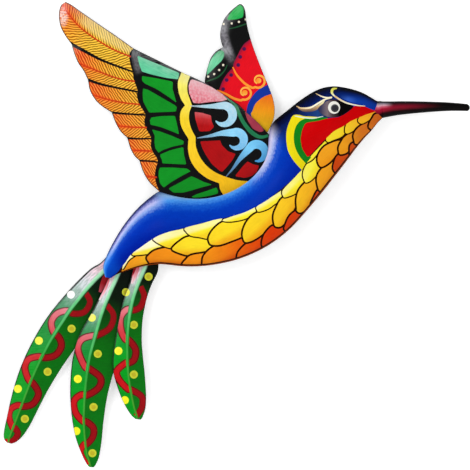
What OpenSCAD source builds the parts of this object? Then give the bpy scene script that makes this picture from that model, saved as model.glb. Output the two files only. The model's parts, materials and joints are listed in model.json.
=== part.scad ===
// Hummingbird wall art: a hollow half-round body with a beak, two wings and three creased tail feathers,
// cut from painted sheet steel, welded together at the back and hung from a bracket on one nail.
// Millimetres. X runs right along the wall, Z runs up, and the painted front faces -Y.
// The origin is the middle of the nail hole, in the plane of the wall.

/* [Overall] */
// Width of the bird, from the left tail feather's tip to the beak's tip
bird_w = 326; // [240:1:420]
// Height of the bird, from the near wing's tip to the middle tail feather's tip
bird_h = 325; // [240:1:420]
// Thickness of the sheet steel
sheet_t = 0.8; // [0.5:0.1:1.2]
// Distance from the wall to the rim of the body
rim_y = 14; // [12:0.5:20]

/* [Body] */
// Height of the body's dome as a share of half its width
dome_ratio = 0.85; // [0.6:0.05:1]
// Length of the round socket at the front of the head
socket_l = 3; // [2:0.5:6]

/* [Beak] */
// Radius of the beak at its root
beak_r = 5.1; // [3.5:0.1:7]
// Radius of the beak's rounded tip
beak_tip_r = 2.3; // [1.6:0.1:3]
// Length of the beak's root inside the head
beak_root_l = 8; // [5:0.5:12]
// Gap between the beak's root and the head's socket
beak_clear = 0.15; // [0.05:0.05:0.4]

/* [Wings] */
// How far the wings' front edges are bent back
edge_bend = 2.5; // [0:0.1:2.8]
// Width of the bent strip along the wings' front edges
bend_w = 10; // [6:0.5:14]
// Gap between the near wing and the far wing behind it
far_gap = 3.7; // [3:0.1:5]
// Width of the near wing's root that reaches under the body's rim
root_w = 7; // [6:0.5:10]
// Length over which the far wing's root steps up to the near wing
step_l = 8; // [6:0.5:12]

/* [Tail] */
// Height of the crease down each tail feather, at the root
crease_h = 3.6; // [1.5:0.1:4]
// Spacing from one tail feather to the next in the fan
fan_pitch = 2.8; // [2.6:0.1:3.4]
// Width of each feather's root tab
tab_w = 14; // [12:0.5:16]
// Length of each feather's root tab
tab_l = 12; // [11:0.5:14]

/* [Hanger] */
// Width of the hanger strip
hanger_w = 16; // [12:0.5:22]
// Thickness of the hanger strip
hanger_t = 1.5; // [1:0.1:2]
// Length of the hanger's raised bridge
bridge_l = 26; // [20:1:34]
// Length of each of the hanger's feet
foot_l = 8; // [7:0.5:10]
// Inside radius of the hanger's bends
bend_r = 1.5; // [1:0.1:2.5]
// Diameter of the hole for the nail
nail_hole_d = 6; // [4:0.1:8]

/* [Welds] */
// Radius of the plug welds
weld_r = 2; // [1.5:0.1:2.5]
// How far a weld's crown stands out from the sheet
crown_h = 0.7; // [0.3:0.1:1]
// How far a weld's crown spreads past its hole
crown_w = 0.6; // [0.3:0.1:1]

/* [Hidden] */
$fn = 48;

// Outlines are drawn on a grid of small squares with its corner at the top left; the nail hole is at
// 190 across and 140 down. One square is gx wide and gz high.
gx = bird_w / 466;
gz = bird_h / 464.3;
function grid(p) = [(p[0] - 190) * gx, (140 - p[1]) * gz];
function grids(list) = [for (p = list) grid(p)];

// Layers, measured out from the wall.
wing_back = rim_y - sheet_t;
far_front = wing_back - far_gap;
strap_back = rim_y - sheet_t;

// Smooth curve through points, with n steps to a span.
function curve_point(a, b, c, d, t) =
    0.5 * (2 * b + (c - a) * t + (2 * a - 5 * b + 4 * c - d) * t * t + (3 * b - a - 3 * c + d) * t * t * t);
function curve(p, n) =
    let (m = len(p), q = concat([2 * p[0] - p[1]], p, [2 * p[m - 1] - p[m - 2]]))
    concat([for (i = [0:m - 2]) for (k = [0:n - 1]) curve_point(q[i], q[i + 1], q[i + 2], q[i + 3], k / n)],
           [p[m - 1]]);
function curves(runs, n) =
    [for (r = [0:len(runs) - 1]) let (c = curve(runs[r], n)) for (i = [r == 0 ? 0 : 1:len(c) - 1]) c[i]];
function clamp01(t) = min(1, max(0, t));
function ease(t) = let (u = clamp01(t)) u * u * (3 - 2 * u);
function unit(v) = v / norm(v);

// Distance from a point to a line of points.
function seg_dist(p, a, b) =
    let (ab = b - a, t = clamp01((p - a) * ab / (ab * ab)))
    norm(p - a - t * ab);
function line_dist(p, line) = min([for (i = [0:len(line) - 2]) seg_dist(p, line[i], line[i + 1])]);

// A point that stands y out from the wall, in front of [x, z].
function out(p, y) = [p[0], -y, p[1]];

// A closed sheet between two grids of points: the front, and the back behind it.
module sheet(front, back) {
    m = len(front);
    n = len(front[0]);
    points = concat([for (row = front) for (p = row) p], [for (row = back) for (p = row) p]);
    b = m * n;
    cells = [for (i = [0:m - 2]) for (j = [0:n - 2])
        [i * n + j, i * n + j + 1, (i + 1) * n + j + 1, (i + 1) * n + j]];
    rim = concat([for (j = [0:n - 2]) j],
                 [for (i = [0:m - 2]) i * n + n - 1],
                 [for (j = [n - 1:-1:1]) (m - 1) * n + j],
                 [for (i = [m - 1:-1:1]) i * n]);
    faces = concat(
        [for (c = cells) [c[0], c[2], c[1]]],
        [for (c = cells) [c[0], c[3], c[2]]],
        [for (c = cells) [b + c[0], b + c[1], b + c[2]]],
        [for (c = cells) [b + c[0], b + c[2], b + c[3]]],
        [for (i = [0:len(rim) - 1]) let (k = rim[i], l = rim[(i + 1) % len(rim)]) [k, l, b + l]],
        [for (i = [0:len(rim) - 1]) let (k = rim[i], l = rim[(i + 1) % len(rim)]) [k, b + l, b + k]]);
    polyhedron(points = points, faces = faces, convexity = 10);
}

// Places what follows at [x, z], y out from the wall, with its Z pointing at the wall.
module toward_wall(p, y) {
    translate([p[0], -y, p[1]])
        rotate([-90, 0, 0])
            children();
}

// Hole for a plug weld through a sheet of thickness t with its front at y.
module plug_hole(p, y, t) {
    toward_wall(p, y + 1)
        cylinder(r = weld_r, h = t + 2);
}

// Plug weld that fills such a hole, ground flush.
module flush_plug(p, y, t) {
    toward_wall(p, y)
        cylinder(r = weld_r, h = t);
}

// Plug weld with a low crown on the back.
module plug(p, y, t) {
    flush_plug(p, y, t);
    toward_wall(p, y - t)
        cylinder(r1 = weld_r + crown_w, r2 = weld_r * 0.6, h = crown_h);
}

// Beak axis.
beak_base = grid([381, 109.8]);
beak_end = grid([468.7, 106.6]);
beak_l = norm(beak_end - beak_base);
beak_dir = unit(beak_end - beak_base);
beak_up = [-beak_dir[1], beak_dir[0]];
mouth_r = beak_r + beak_clear + sheet_t;

// Body outline: the back and the belly, from the beak to the wing's corner and on to the rump.
mouth_back = [beak_base + beak_up * mouth_r, beak_base + beak_up * mouth_r - beak_dir * socket_l];
mouth_belly = [beak_base - beak_up * mouth_r, beak_base - beak_up * mouth_r - beak_dir * socket_l];
back_a = grids([[362, 93], [347, 88.3], [332, 86.5], [318, 90], [303, 99], [287, 111.5], [272.5, 123.5],
                [268.5, 136], [267.5, 150], [264, 163], [256.5, 174.5], [245, 184], [231, 192.3],
                [215, 197.5], [198, 199], [181, 197], [168, 194], [158.5, 191]]);
belly_a = grids([[370, 130.5], [362.5, 138], [355, 147], [348, 156], [340.5, 166], [333, 175.5], [324, 187],
                 [314, 199], [302, 213], [288, 228], [271, 241.5], [253, 251.5], [234, 258.8],
                 [215, 263], [198, 265], [182, 265], [170, 264], [161, 263.5]]);
back_b = grids([[158.5, 191], [148, 199.5], [136, 211], [124, 226], [114, 242], [107, 255], [103.5, 266],
                [105.5, 276.5]]);
belly_b = grids([[161, 263.5], [153, 264], [144, 265.5], [136.5, 267.2], [129.5, 269.2], [122.5, 271.5],
                 [116.5, 274], [111, 277.5]]);
body_steps = 2;
back_line = concat([mouth_back[0]], curves([concat([mouth_back[1]], back_a), back_b], body_steps));
belly_line = concat([mouth_belly[0]], curves([concat([mouth_belly[1]], belly_a), belly_b], body_steps));
body_n = len(back_line);

// The dome is round at the socket and flatter behind the head.
function dome(i) = 1 + (dome_ratio - 1) * ease((i - 1) / 6);

// One half-round section of the body, moved in by an offset.
function section(i, inset) =
    let (mid = (back_line[i] + belly_line[i]) / 2, half = norm(back_line[i] - belly_line[i]) / 2,
         e = unit(back_line[i] - belly_line[i]))
    [for (a = [0:11.25:180])
        out(mid + e * (half - inset) * cos(a), rim_y + (half * dome(i) - inset) * sin(a))];

module body_shell() {
    color("royalblue")
        sheet([for (i = [0:body_n - 1]) section(i, 0)], [for (i = [0:body_n - 1]) section(i, sheet_t)]);
}

// Inward direction of the back's rim at a section.
function rim_in(i) =
    let (d = unit(back_line[i + 1] - back_line[i - 1]), n = [-d[1], d[0]], e = belly_line[i] - back_line[i])
    n * e > 0 ? n : -n;
function belly_in(i) =
    let (d = unit(belly_line[i + 1] - belly_line[i - 1]), n = [-d[1], d[0]], e = back_line[i] - belly_line[i])
    n * e > 0 ? n : -n;

// Beak: a cone of rolled sheet with a rounded end, its root inside the head's socket.
function beak_radius(s) =
    beak_tip_r + (beak_r - beak_tip_r) * pow(max(0, 1 - s / (beak_l - beak_tip_r)), 1.5);
beak_stations = [for (k = [0:10]) (beak_l - beak_tip_r) * k / 10];
beak_outer = concat([[beak_r, -beak_root_l]], [for (s = beak_stations) [beak_radius(s), s]],
                    [for (a = [15:15:75]) [beak_tip_r * cos(a), beak_l - beak_tip_r + beak_tip_r * sin(a)]],
                    [[0, beak_l]]);
beak_inner = concat([[0, beak_l - sheet_t]],
                    [for (k = [10:-1:0]) [beak_radius(beak_stations[k]) - sheet_t, beak_stations[k]]],
                    [[beak_r - sheet_t, -beak_root_l]]);

// Turns a shape made along Z so that it lies on the beak's axis.
module on_beak_axis() {
    translate([beak_base[0], -rim_y, beak_base[1]])
        rotate([0, 90 - atan2(beak_dir[1], beak_dir[0]), 0])
            children();
}

module beak() {
    color("dimgray")
        on_beak_axis()
            rotate_extrude()
                polygon(concat(beak_outer, beak_inner));
}

// Near wing: the front edge, and the feather tips with the root that follows the body's rim.
near_tip = grids([[72, 44.5], [66, 36.5], [61, 27], [59.3, 17], [60, 9], [62.5, 3.8]]);
near_lead = grids([[66, 2.2], [72, 5.2], [79, 10.3], [88, 16.6], [98, 23.6], [108, 30.4], [115, 35.2],
                   [121, 39.4], [127, 43.7], [133, 48], [140, 51.7], [147, 55.1], [154, 58.5], [161, 62],
                   [167, 65], [173, 68], [179, 71], [185, 73.8], [191, 76.4], [197, 79.1], [203, 82],
                   [209, 85.3], [215, 89], [219, 91.6], [224, 95.1], [230, 99.4], [236, 103.8],
                   [242, 108.8], [248, 113.9], [254, 119.1], [259, 124], [264, 129.3], [270, 135.5]]);
near_tips = [grids([[62.5, 3.8], [60, 9], [59.3, 17], [61, 27], [66, 36.5], [72, 44.5]]),
             grids([[72, 44.5], [74, 52], [78.5, 63], [84, 71], [88.3, 80]]),
             grids([[88.3, 80], [90.5, 91], [96.5, 101], [104, 107.5], [112, 112.5]]),
             grids([[112, 112.5], [115.5, 122], [120.5, 131], [127.5, 138]]),
             grids([[127.5, 138], [130.5, 148], [134.5, 155.5], [139.5, 160.5]]),
             grids([[139.5, 160.5], [143.5, 172], [149.5, 182], [158.5, 190.5]])];
corner_i = 1 + body_steps * len(back_a);
root_stations = [for (k = [1:10]) corner_i - k * body_steps];
near_root = [for (i = root_stations) back_line[i] + rim_in(i) * root_w];
near_front_edge = curve(near_lead, body_steps);
near_rear_edge = curves(concat(near_tips, [concat([grid([158.5, 190.5])], near_root)]), body_steps);
near_bent_edge = concat(near_tip, near_lead);

// Depth of the near wing's front: flat, with its front edge rolled back and straight again at the root.
bend_end = grid([255, 0])[0];
bend_fade = grid([225, 0])[0];
function roll(d) = let (u = clamp01(1 - d / bend_w)) u * u;
function near_y(p) =
    let (fade = clamp01((bend_end - p[0]) / (bend_end - bend_fade)))
    rim_y - edge_bend * fade * roll(line_dist(p, near_bent_edge));

// Points across the wing: close together along the bent strip, then wide.
function across(a, b) =
    let (l = norm(b - a), s = min(1.3 * bend_w, l * 0.6))
    concat([for (k = [0:4]) a + (b - a) * (s * k / 4) / l], [a + (b - a) * ((s + l) / 2) / l], [b]);
near_points = [for (i = [len(near_front_edge) - 1:-1:0]) across(near_front_edge[i], near_rear_edge[i])];

near_weld_i = [for (k = [2, 4, 6, 9]) corner_i - k * body_steps];
near_weld_at = [for (i = near_weld_i) back_line[i] + rim_in(i) * weld_r];

module near_wing() {
    color("orange")
        difference() {
            sheet([for (row = near_points) [for (p = row) out(p, near_y(p))]],
                  [for (row = near_points) [for (p = row) out(p, near_y(p) - sheet_t)]]);
            for (p = near_weld_at)
                plug_hole(p, rim_y, sheet_t);
        }
}

// Far wing: its left and right edges, ending in a root that steps up behind the near wing.
far_left = [grids([[239, 4], [235, 7], [229, 12.5], [224, 19], [221, 27], [220, 35], [221, 42], [222.7, 47]]),
            grids([[222.7, 47], [216, 51], [211, 57], [208, 65], [206, 73], [204.5, 82], [206.5, 93],
                   [210, 105], [214, 116], [218, 127], [225, 138]])];
far_right = grids([[241, 4], [243.5, 6.5], [245.2, 12], [246, 20], [247.5, 28], [249.5, 36], [251.8, 43.5],
                   [254, 50], [257, 58], [260.5, 67], [264.5, 77], [269, 88], [272.3, 97], [274.3, 107],
                   [273.8, 117], [271, 125], [266, 134], [256, 145]]);
far_left_edge = curves(far_left, body_steps);
far_right_edge = curve(far_right, body_steps);
far_steps = 12;
far_points = [for (i = [0:len(far_left_edge) - 1])
    [for (k = [0:far_steps]) far_left_edge[i] + (far_right_edge[i] - far_left_edge[i]) * k / far_steps]];

// How far a point lies behind the near wing, measured from its front edge.
function behind(p) =
    p[1] < lookup(p[0], near_lead) ? line_dist(p, near_front_edge) : 0;
step_start = bend_w * 0.4;
function far_y(p) =
    let (s = behind(p), up = ease((s - step_start) / step_l))
    far_front - edge_bend * roll(line_dist(p, far_left_edge)) * (1 - ease(s / 4)) + far_gap * up;

far_weld_in = step_start + step_l + weld_r + crown_w + sheet_t;
function far_weld(a, b) = let (d = unit(b - a)) (a + b) / 2 + [d[1], -d[0]] * far_weld_in;
far_weld_at = [far_weld(near_lead[25], near_lead[26]), far_weld(near_lead[27], near_lead[28])];

module far_wing() {
    color("crimson")
        difference() {
            sheet([for (row = far_points) [for (p = row) out(p, far_y(p))]],
                  [for (row = far_points) [for (p = row) out(p, far_y(p) - sheet_t)]]);
            for (p = far_weld_at)
                plug_hole(p, wing_back, sheet_t);
        }
}

// Cross strap: bridges the open back of the body near the rump, its ends cut to the rims.
strap_a = corner_i + 2 * body_steps;
strap_b = corner_i + 4 * body_steps;
strap_m = corner_i + 3 * body_steps;
strap_edge = 0.4;
function strap_end(i, s) =
    let (e = unit(back_line[i] - belly_line[i]))
    s > 0 ? back_line[i] - e * strap_edge : belly_line[i] + e * strap_edge;
strap_mid = (back_line[strap_m] + belly_line[strap_m]) / 2;
strap_e = unit(back_line[strap_m] - belly_line[strap_m]);
strap_out = [strap_e[1], -strap_e[0]];
tail_dir = strap_out[0] < 0 ? strap_out : -strap_out;
strap_weld_at = [back_line[strap_m] + rim_in(strap_m) * weld_r,
                 belly_line[strap_m] + belly_in(strap_m) * weld_r];

module tail_strap() {
    color("slategray")
        difference() {
            translate([0, -strap_back, 0])
                rotate([90, 0, 0])
                    linear_extrude(height = sheet_t)
                        polygon([strap_end(strap_a, 1), strap_end(strap_m, 1), strap_end(strap_b, 1),
                                 strap_end(strap_b, -1), strap_end(strap_m, -1), strap_end(strap_a, -1)]);
            for (p = strap_weld_at)
                plug_hole(p, rim_y, sheet_t);
        }
}

// Tail feathers: left edge, crease and right edge, from just inside the body to the tip.
left_l = grids([[107, 255.5], [100, 262.5], [91, 267.8], [80, 278], [70, 288.5], [60, 300], [50, 312.5],
                [40, 327.5], [30, 345.5], [22, 363], [15.5, 381.5], [10.5, 400], [6.8, 417], [4, 431],
                [4.2, 438], [7, 441.7]]);
left_m = grids([[111, 262], [104, 270], [96, 278], [86, 289], [77, 300.5], [69, 311], [60.5, 324],
                [51, 339], [42, 356], [34.5, 372], [28.5, 386.5], [22.5, 402.5], [16.5, 418.5],
                [11.5, 431.5], [9, 438.5], [8.8, 442]]);
left_r = grids([[117, 267.5], [110.5, 278], [103, 290], [94.5, 307], [87.5, 322.5], [81, 336], [74.5, 347],
                [65, 360.5], [55, 376], [46.5, 390.5], [39.5, 404], [34, 415], [28.5, 425.5], [22, 435],
                [15.5, 440.7], [11, 442.5]]);
middle_l = grids([[113, 264], [108, 279], [100, 296], [93, 310], [86, 322], [80, 333], [75.2, 347],
                  [72, 362], [70.5, 380], [70.5, 400], [72.5, 420], [76, 437], [81, 451], [86, 461.5],
                  [89.3, 465.8]]);
middle_m = grids([[121, 265], [116.5, 277], [109.5, 293], [103, 309], [98, 325.5], [94, 340],
                  [90.5, 352.5], [88, 366], [86, 382], [84.5, 401], [84, 420], [85, 437], [87, 452],
                  [90, 462], [90.8, 466.3]]);
middle_r = grids([[133, 264], [133, 281], [128, 299], [124, 317], [121, 335], [118, 351], [115, 364],
                  [111, 377.5], [107.5, 391], [104.8, 406], [102.6, 423], [101, 440], [98.5, 455],
                  [95, 463.5], [92.5, 466]]);
right_l = grids([[136.5, 261], [134, 271], [128, 284], [123, 300], [119, 320], [115.5, 340], [113, 358],
                 [113.5, 371], [116, 381], [120, 393], [125, 404], [131, 413.5], [135.5, 417.8]]);
right_m = grids([[147, 260], [143.5, 270], [138, 283], [132.8, 299], [129, 320], [127.5, 340], [127.6, 358],
                 [128.3, 371], [129.5, 381], [131.5, 393], [134, 405], [136.5, 413.5], [137.8, 418.4]]);
right_r = grids([[158, 259], [157, 271], [151, 283.5], [146, 298], [142, 319], [141.2, 340],
                 [142.5, 357], [144, 371], [145, 384], [145.5, 396], [144.8, 407], [142, 415.5],
                 [140, 418.2]]);

// Root tab of a feather: a short flat plate over the strap's middle, turned towards the feather's blade.
tab_end_w = tab_w * 0.64;
tab_r = max(tab_w / 2, norm([tab_l, tab_end_w]) / 2);
tab_steps = 5;
function tab_row(a, side, s) =
    let (w = s == 0 ? tab_w : tab_end_w)
    strap_mid + a * (tab_l / 2 * s) + [a[1], -a[0]] * (w / 2 * side);
function feather_line(side, pts, a) =
    let (t = tab_row(a, side, 1))
    concat([tab_row(a, side, -1), tab_row(a, side, 0)],
           [for (k = [0:tab_steps - 1]) t + (pts[0] - t) * k / tab_steps],
           curve(pts, body_steps));

// Depth of a feather's front. layer counts back from the strap; f is 0 on the crease and 1 at the edges.
function tab_y(layer) = strap_back - sheet_t * layer;
function tab_dist(p) = max(0, norm(p - strap_mid) - tab_r - sheet_t);
function feather_y(p, layer, f, s) =
    tab_y(layer) - (fan_pitch - sheet_t) * layer * clamp01(tab_dist(p) / 8)
        - crease_h * (1 - 0.6 * s) * f * ease((tab_dist(p) - 1) / 12);

module feather(layer, l, m, r) {
    a = unit(m[0] - strap_mid);
    rows = [feather_line(1, l, a), feather_line(0, m, a), feather_line(-1, r, a)];
    n = len(rows[0]);
    grid_f = [for (i = [0:n - 1])
        [for (k = [0:2]) out(rows[k][i], feather_y(rows[k][i], layer, abs(k - 1), i / (n - 1)))]];
    difference() {
        sheet(grid_f, [for (row = grid_f) [for (p = row) p + [0, sheet_t, 0]]]);
        for (p = tail_weld_at)
            plug_hole(p, tab_y(layer), sheet_t);
    }
}

tail_weld_at = [strap_mid + strap_e * tab_w / 4, strap_mid - strap_e * tab_w / 4];

module tail_left() {
    color("forestgreen")
        feather(2, left_l, left_m, left_r);
}

module tail_middle() {
    color("green")
        feather(1, middle_l, middle_m, middle_r);
}

module tail_right() {
    color("limegreen")
        feather(0, right_l, right_m, right_r);
}

// Hanger: a strip bent like a hat, with its feet on the near wing's back and its bridge on the wall.
hang_r = bend_r + hanger_t / 2;
function hang_arc(cz, cy, a, b) =
    [for (k = [0:4]) let (t = a + (b - a) * k / 4) [cz + hang_r * cos(t), cy + hang_r * sin(t), t]];
leg_z = bridge_l / 2 - hanger_t / 2;
foot_y = wing_back - hanger_t / 2;
half_path = concat(hang_arc(leg_z - hang_r, hanger_t / 2 + hang_r, -90, 0),
                   [for (p = hang_arc(leg_z + hang_r, foot_y - hang_r, 180, 90)) [p[0], p[1], p[2] - 180]],
                   [[bridge_l / 2 + foot_l, foot_y, -90]]);
half_outer = [for (p = half_path) [p[0] + cos(p[2]) * hanger_t / 2, p[1] + sin(p[2]) * hanger_t / 2]];
half_inner = [for (p = half_path) [p[0] - cos(p[2]) * hanger_t / 2, p[1] - sin(p[2]) * hanger_t / 2]];
half_n = len(half_path);
hanger_outline = concat(half_outer, [for (i = [half_n - 1:-1:0]) half_inner[i]],
                        [for (p = half_inner) [-p[0], p[1]]],
                        [for (i = [half_n - 1:-1:0]) [-half_outer[i][0], half_outer[i][1]]]);
foot_mid = bridge_l / 2 + (foot_l + hang_r) / 2;
hanger_weld_at = [[0, foot_mid], [0, -foot_mid]];

module hanger() {
    color("silver")
        difference() {
            translate([-hanger_w / 2, 0, 0])
                rotate([90, 0, 90])
                    linear_extrude(height = hanger_w)
                        polygon([for (p = hanger_outline) [-p[1], p[0]]]);
            toward_wall([0, 0], hanger_t + 1)
                cylinder(d = nail_hole_d, h = hanger_t + 2);
            for (p = hanger_weld_at)
                plug_hole(p, wing_back, hanger_t);
        }
}

// Weld beads on both sides of the beak's root, behind the rim of the head's socket.
module beak_welds() {
    bead_r = beak_clear + sheet_t;
    color("gray")
        for (s = [-1, 1])
            difference() {
                on_beak_axis()
                    translate([s * beak_r, 0, -socket_l + 0.3])
                        cylinder(r = bead_r, h = socket_l - 0.6);
                on_beak_axis()
                    translate([0, 0, -socket_l])
                        cylinder(r = beak_r, h = socket_l);
                translate([beak_base[0] - 20, -rim_y - 10, beak_base[1] - 20])
                    cube([40, 10, 40]);
            }
}

module near_wing_welds() {
    color("gray")
        for (p = near_weld_at)
            plug(p, rim_y, sheet_t);
}

module far_wing_welds() {
    color("gray")
        for (p = far_weld_at)
            plug(p, wing_back, sheet_t);
}

module strap_welds() {
    color("gray")
        for (p = strap_weld_at)
            flush_plug(p, rim_y, sheet_t);
}

module tail_welds() {
    color("gray")
        for (p = tail_weld_at)
            plug(p, strap_back, 3 * sheet_t);
}

module hanger_welds() {
    color("gray")
        for (p = hanger_weld_at)
            plug(p, wing_back, hanger_t);
}

body_shell();
beak();
near_wing();
far_wing();
tail_left();
tail_middle();
tail_right();
tail_strap();
hanger();
beak_welds();
near_wing_welds();
far_wing_welds();
strap_welds();
tail_welds();
hanger_welds();
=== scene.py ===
# %% [markdown]
# # A painted steel hummingbird for the wall
# The ornament is cut from thin sheet steel, formed by hand, welded at the back and painted with gloss enamel.
# The construction is packed already, so this lesson loads it as a fixed frame and makes the looks around it:
# one closed mesh for each real piece. The paint could be nodes on the construction's own facets, but their
# edges don't follow the brushwork, so each sheet is cut again along every painted line.

# %% Load the frame
import json
import math
from collections import namedtuple

import bpy
import numpy as np
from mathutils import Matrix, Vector
from mathutils.geometry import delaunay_2d_cdt
from mathutils.kdtree import KDTree

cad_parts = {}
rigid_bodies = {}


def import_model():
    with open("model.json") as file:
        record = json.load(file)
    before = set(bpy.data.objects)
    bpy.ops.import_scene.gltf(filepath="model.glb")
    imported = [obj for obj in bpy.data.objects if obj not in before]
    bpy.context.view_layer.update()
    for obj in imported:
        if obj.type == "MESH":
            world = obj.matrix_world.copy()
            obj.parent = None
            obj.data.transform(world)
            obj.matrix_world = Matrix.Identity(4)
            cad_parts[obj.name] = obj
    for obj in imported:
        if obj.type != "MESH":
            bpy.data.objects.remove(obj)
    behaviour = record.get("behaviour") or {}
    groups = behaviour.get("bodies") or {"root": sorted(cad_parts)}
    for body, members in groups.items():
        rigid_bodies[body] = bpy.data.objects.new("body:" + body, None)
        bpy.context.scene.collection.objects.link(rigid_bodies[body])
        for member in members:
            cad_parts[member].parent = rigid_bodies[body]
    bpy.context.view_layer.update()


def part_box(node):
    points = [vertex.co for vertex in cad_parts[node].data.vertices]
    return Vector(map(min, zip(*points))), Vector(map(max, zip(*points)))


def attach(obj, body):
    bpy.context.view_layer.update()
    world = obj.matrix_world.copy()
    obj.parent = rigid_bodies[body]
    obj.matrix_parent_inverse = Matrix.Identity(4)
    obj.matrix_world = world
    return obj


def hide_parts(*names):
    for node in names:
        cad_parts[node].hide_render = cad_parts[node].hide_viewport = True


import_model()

# %% [markdown]
# ## The drawing grid
# A maker of such birds draws the outline on squared paper first, and every outline and brush stroke below is
# given on that paper: squares across from the left and squares down from the top. One square is 0.7 mm.
# Working in squares keeps the points short and easy to compare with a picture, and two functions lead from
# the paper to the wall and back. X runs right along the wall, Z up, and the painted front faces -Y.

# %% The drawing grid
MM = 0.001
BIRD_W = 326 * MM
BIRD_H = 325 * MM
SQUARES_ACROSS = 466
SQUARES_DOWN = 464.3
SQUARE = np.array([BIRD_W / SQUARES_ACROSS, BIRD_H / SQUARES_DOWN])
NAIL_HOLE = np.array([190, 140])
UP = np.array([1, -1])
PAPER = 470


def on_wall(squares):
    """Metres along the wall, [x, z] from the nail hole, of points on the paper."""
    return (np.asarray(squares, float) - NAIL_HOLE) * SQUARE * UP


def on_paper(wall):
    """Squares on the paper of points along the wall."""
    return wall / SQUARE * UP + NAIL_HOLE


RIM = -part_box("body_shell")[1].y
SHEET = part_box("tail_strap")[1].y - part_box("tail_strap")[0].y
print("rim", round(RIM / MM, 2), "mm out from the wall, sheet", round(SHEET / MM, 2), "mm")

# %% [markdown]
# ## Curves and brush marks
# Outlines are smooth curves through a few points, as a bent batten gives on paper. A brush leaves three kinds
# of mark: a filled patch, a stroke whose width swells and tapers, and a dot. Each is a function that returns
# a closed line on the paper, and a curl is a stroke along an arc. Curve objects could draw them too, but
# plain arrays can be cut into a sheet directly.

# %% Curves and brush marks
DOT_POINTS = 24
TINY = 1e-12


def curve(points, steps):
    """A smooth line through points, with so many steps to a span."""
    p = np.asarray(points, float)
    q = np.vstack([2 * p[0] - p[1], p, 2 * p[-1] - p[-2]])
    t = np.arange(steps)[:, None] / steps
    spans = []
    for a, b, c, d in zip(q, q[1:], q[2:], q[3:]):
        bend = (2 * a - 5 * b + 4 * c - d) * t ** 2 + (3 * b - a - 3 * c + d) * t ** 3
        spans.append((2 * b + (c - a) * t + bend) / 2)
    return np.vstack([*spans, p[-1:]])


def runs(*lines, steps=6):
    """One line made of smooth runs that meet in corners."""
    parts = [curve(line, steps) for line in lines]
    return np.vstack([parts[0], *[part[1:] for part in parts[1:]]])


def blob(points, steps=4):
    """A closed smooth line through points."""
    p = np.asarray(points, float)
    whole = curve(np.vstack([p[-2:], p, p[:2]]), steps)
    return whole[2 * steps:(2 + len(p)) * steps]


def block(points, rounds=2, share=0.16):
    """A closed line with its corners cut off, as a brush rounds them."""
    p = np.asarray(points, float)
    for _ in range(rounds):
        after = np.roll(p, -1, 0)
        p = np.stack([p + (after - p) * share, after - (after - p) * share], 1).reshape(-1, 2)
    return p


def beside(run):
    """Unit vectors at right angles to runs."""
    return run[:, ::-1] * UP / np.maximum(np.hypot(*run.T), TINY)[:, None]


def lengths(line):
    """How far along a line each of its points lies."""
    return np.concatenate([[0], np.cumsum(np.hypot(*np.diff(line, axis=0).T))])


def stroke(points, widths, steps=5):
    """A brush stroke along points, with widths spread evenly from its start to its end."""
    line = curve(points, steps)
    length = lengths(line)
    width = np.interp(length / length[-1], np.linspace(0, 1, len(widths)), widths)
    half = beside(np.gradient(line, axis=0)) * width[:, None] / 2
    return np.vstack([line + half, (line - half)[::-1]])


def arc(centre, radius, start, end, count=12, shrink=1.0):
    """Points round a centre from one angle to another, in degrees, drawing in by a share."""
    turn = np.radians(np.linspace(start, end, count))[:, None]
    reach = radius * np.linspace(1, shrink, count)[:, None]
    return np.asarray(centre) + reach * np.hstack([np.cos(turn), np.sin(turn)])


def dot(centre, radius):
    return arc(centre, radius, 0, 360 - 360 / DOT_POINTS, DOT_POINTS)


def area(shape):
    """The area in a closed line, with a sign for the way it runs round."""
    after = np.roll(shape, -1, 0)
    return (shape[:, 0] * after[:, 1] - shape[:, 1] * after[:, 0]).sum() / 2


def inset(shape, distance):
    side = beside(np.roll(shape, -1, 0) - np.roll(shape, 1, 0))
    return shape - side * distance * np.sign(area(shape))


print("a curl of", len(stroke(arc((0, 0), 9, -90, 140), (1, 8, 1))), "points")

# %% [markdown]
# ## Colours and shader maths
# Enamel colours are written as six digits, as a screen shows them, and turned into linear light here. The
# finishes need sums such as 1 - mask, and a tree of Math nodes is hard to read. So one small class wraps a
# socket, and each operator adds its node. Colours go through Mix nodes, because a Math node makes them grey.

# %% Colours and shader maths
def linear(code):
    """A colour written as six hexadecimal digits, in linear light."""
    parts = [int(code[k:k + 2], 16) / 255 for k in (0, 2, 4)]
    return (*[p / 12.92 if p <= 0.04045 else ((p + 0.055) / 1.055) ** 2.4 for p in parts], 1.0)


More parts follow.
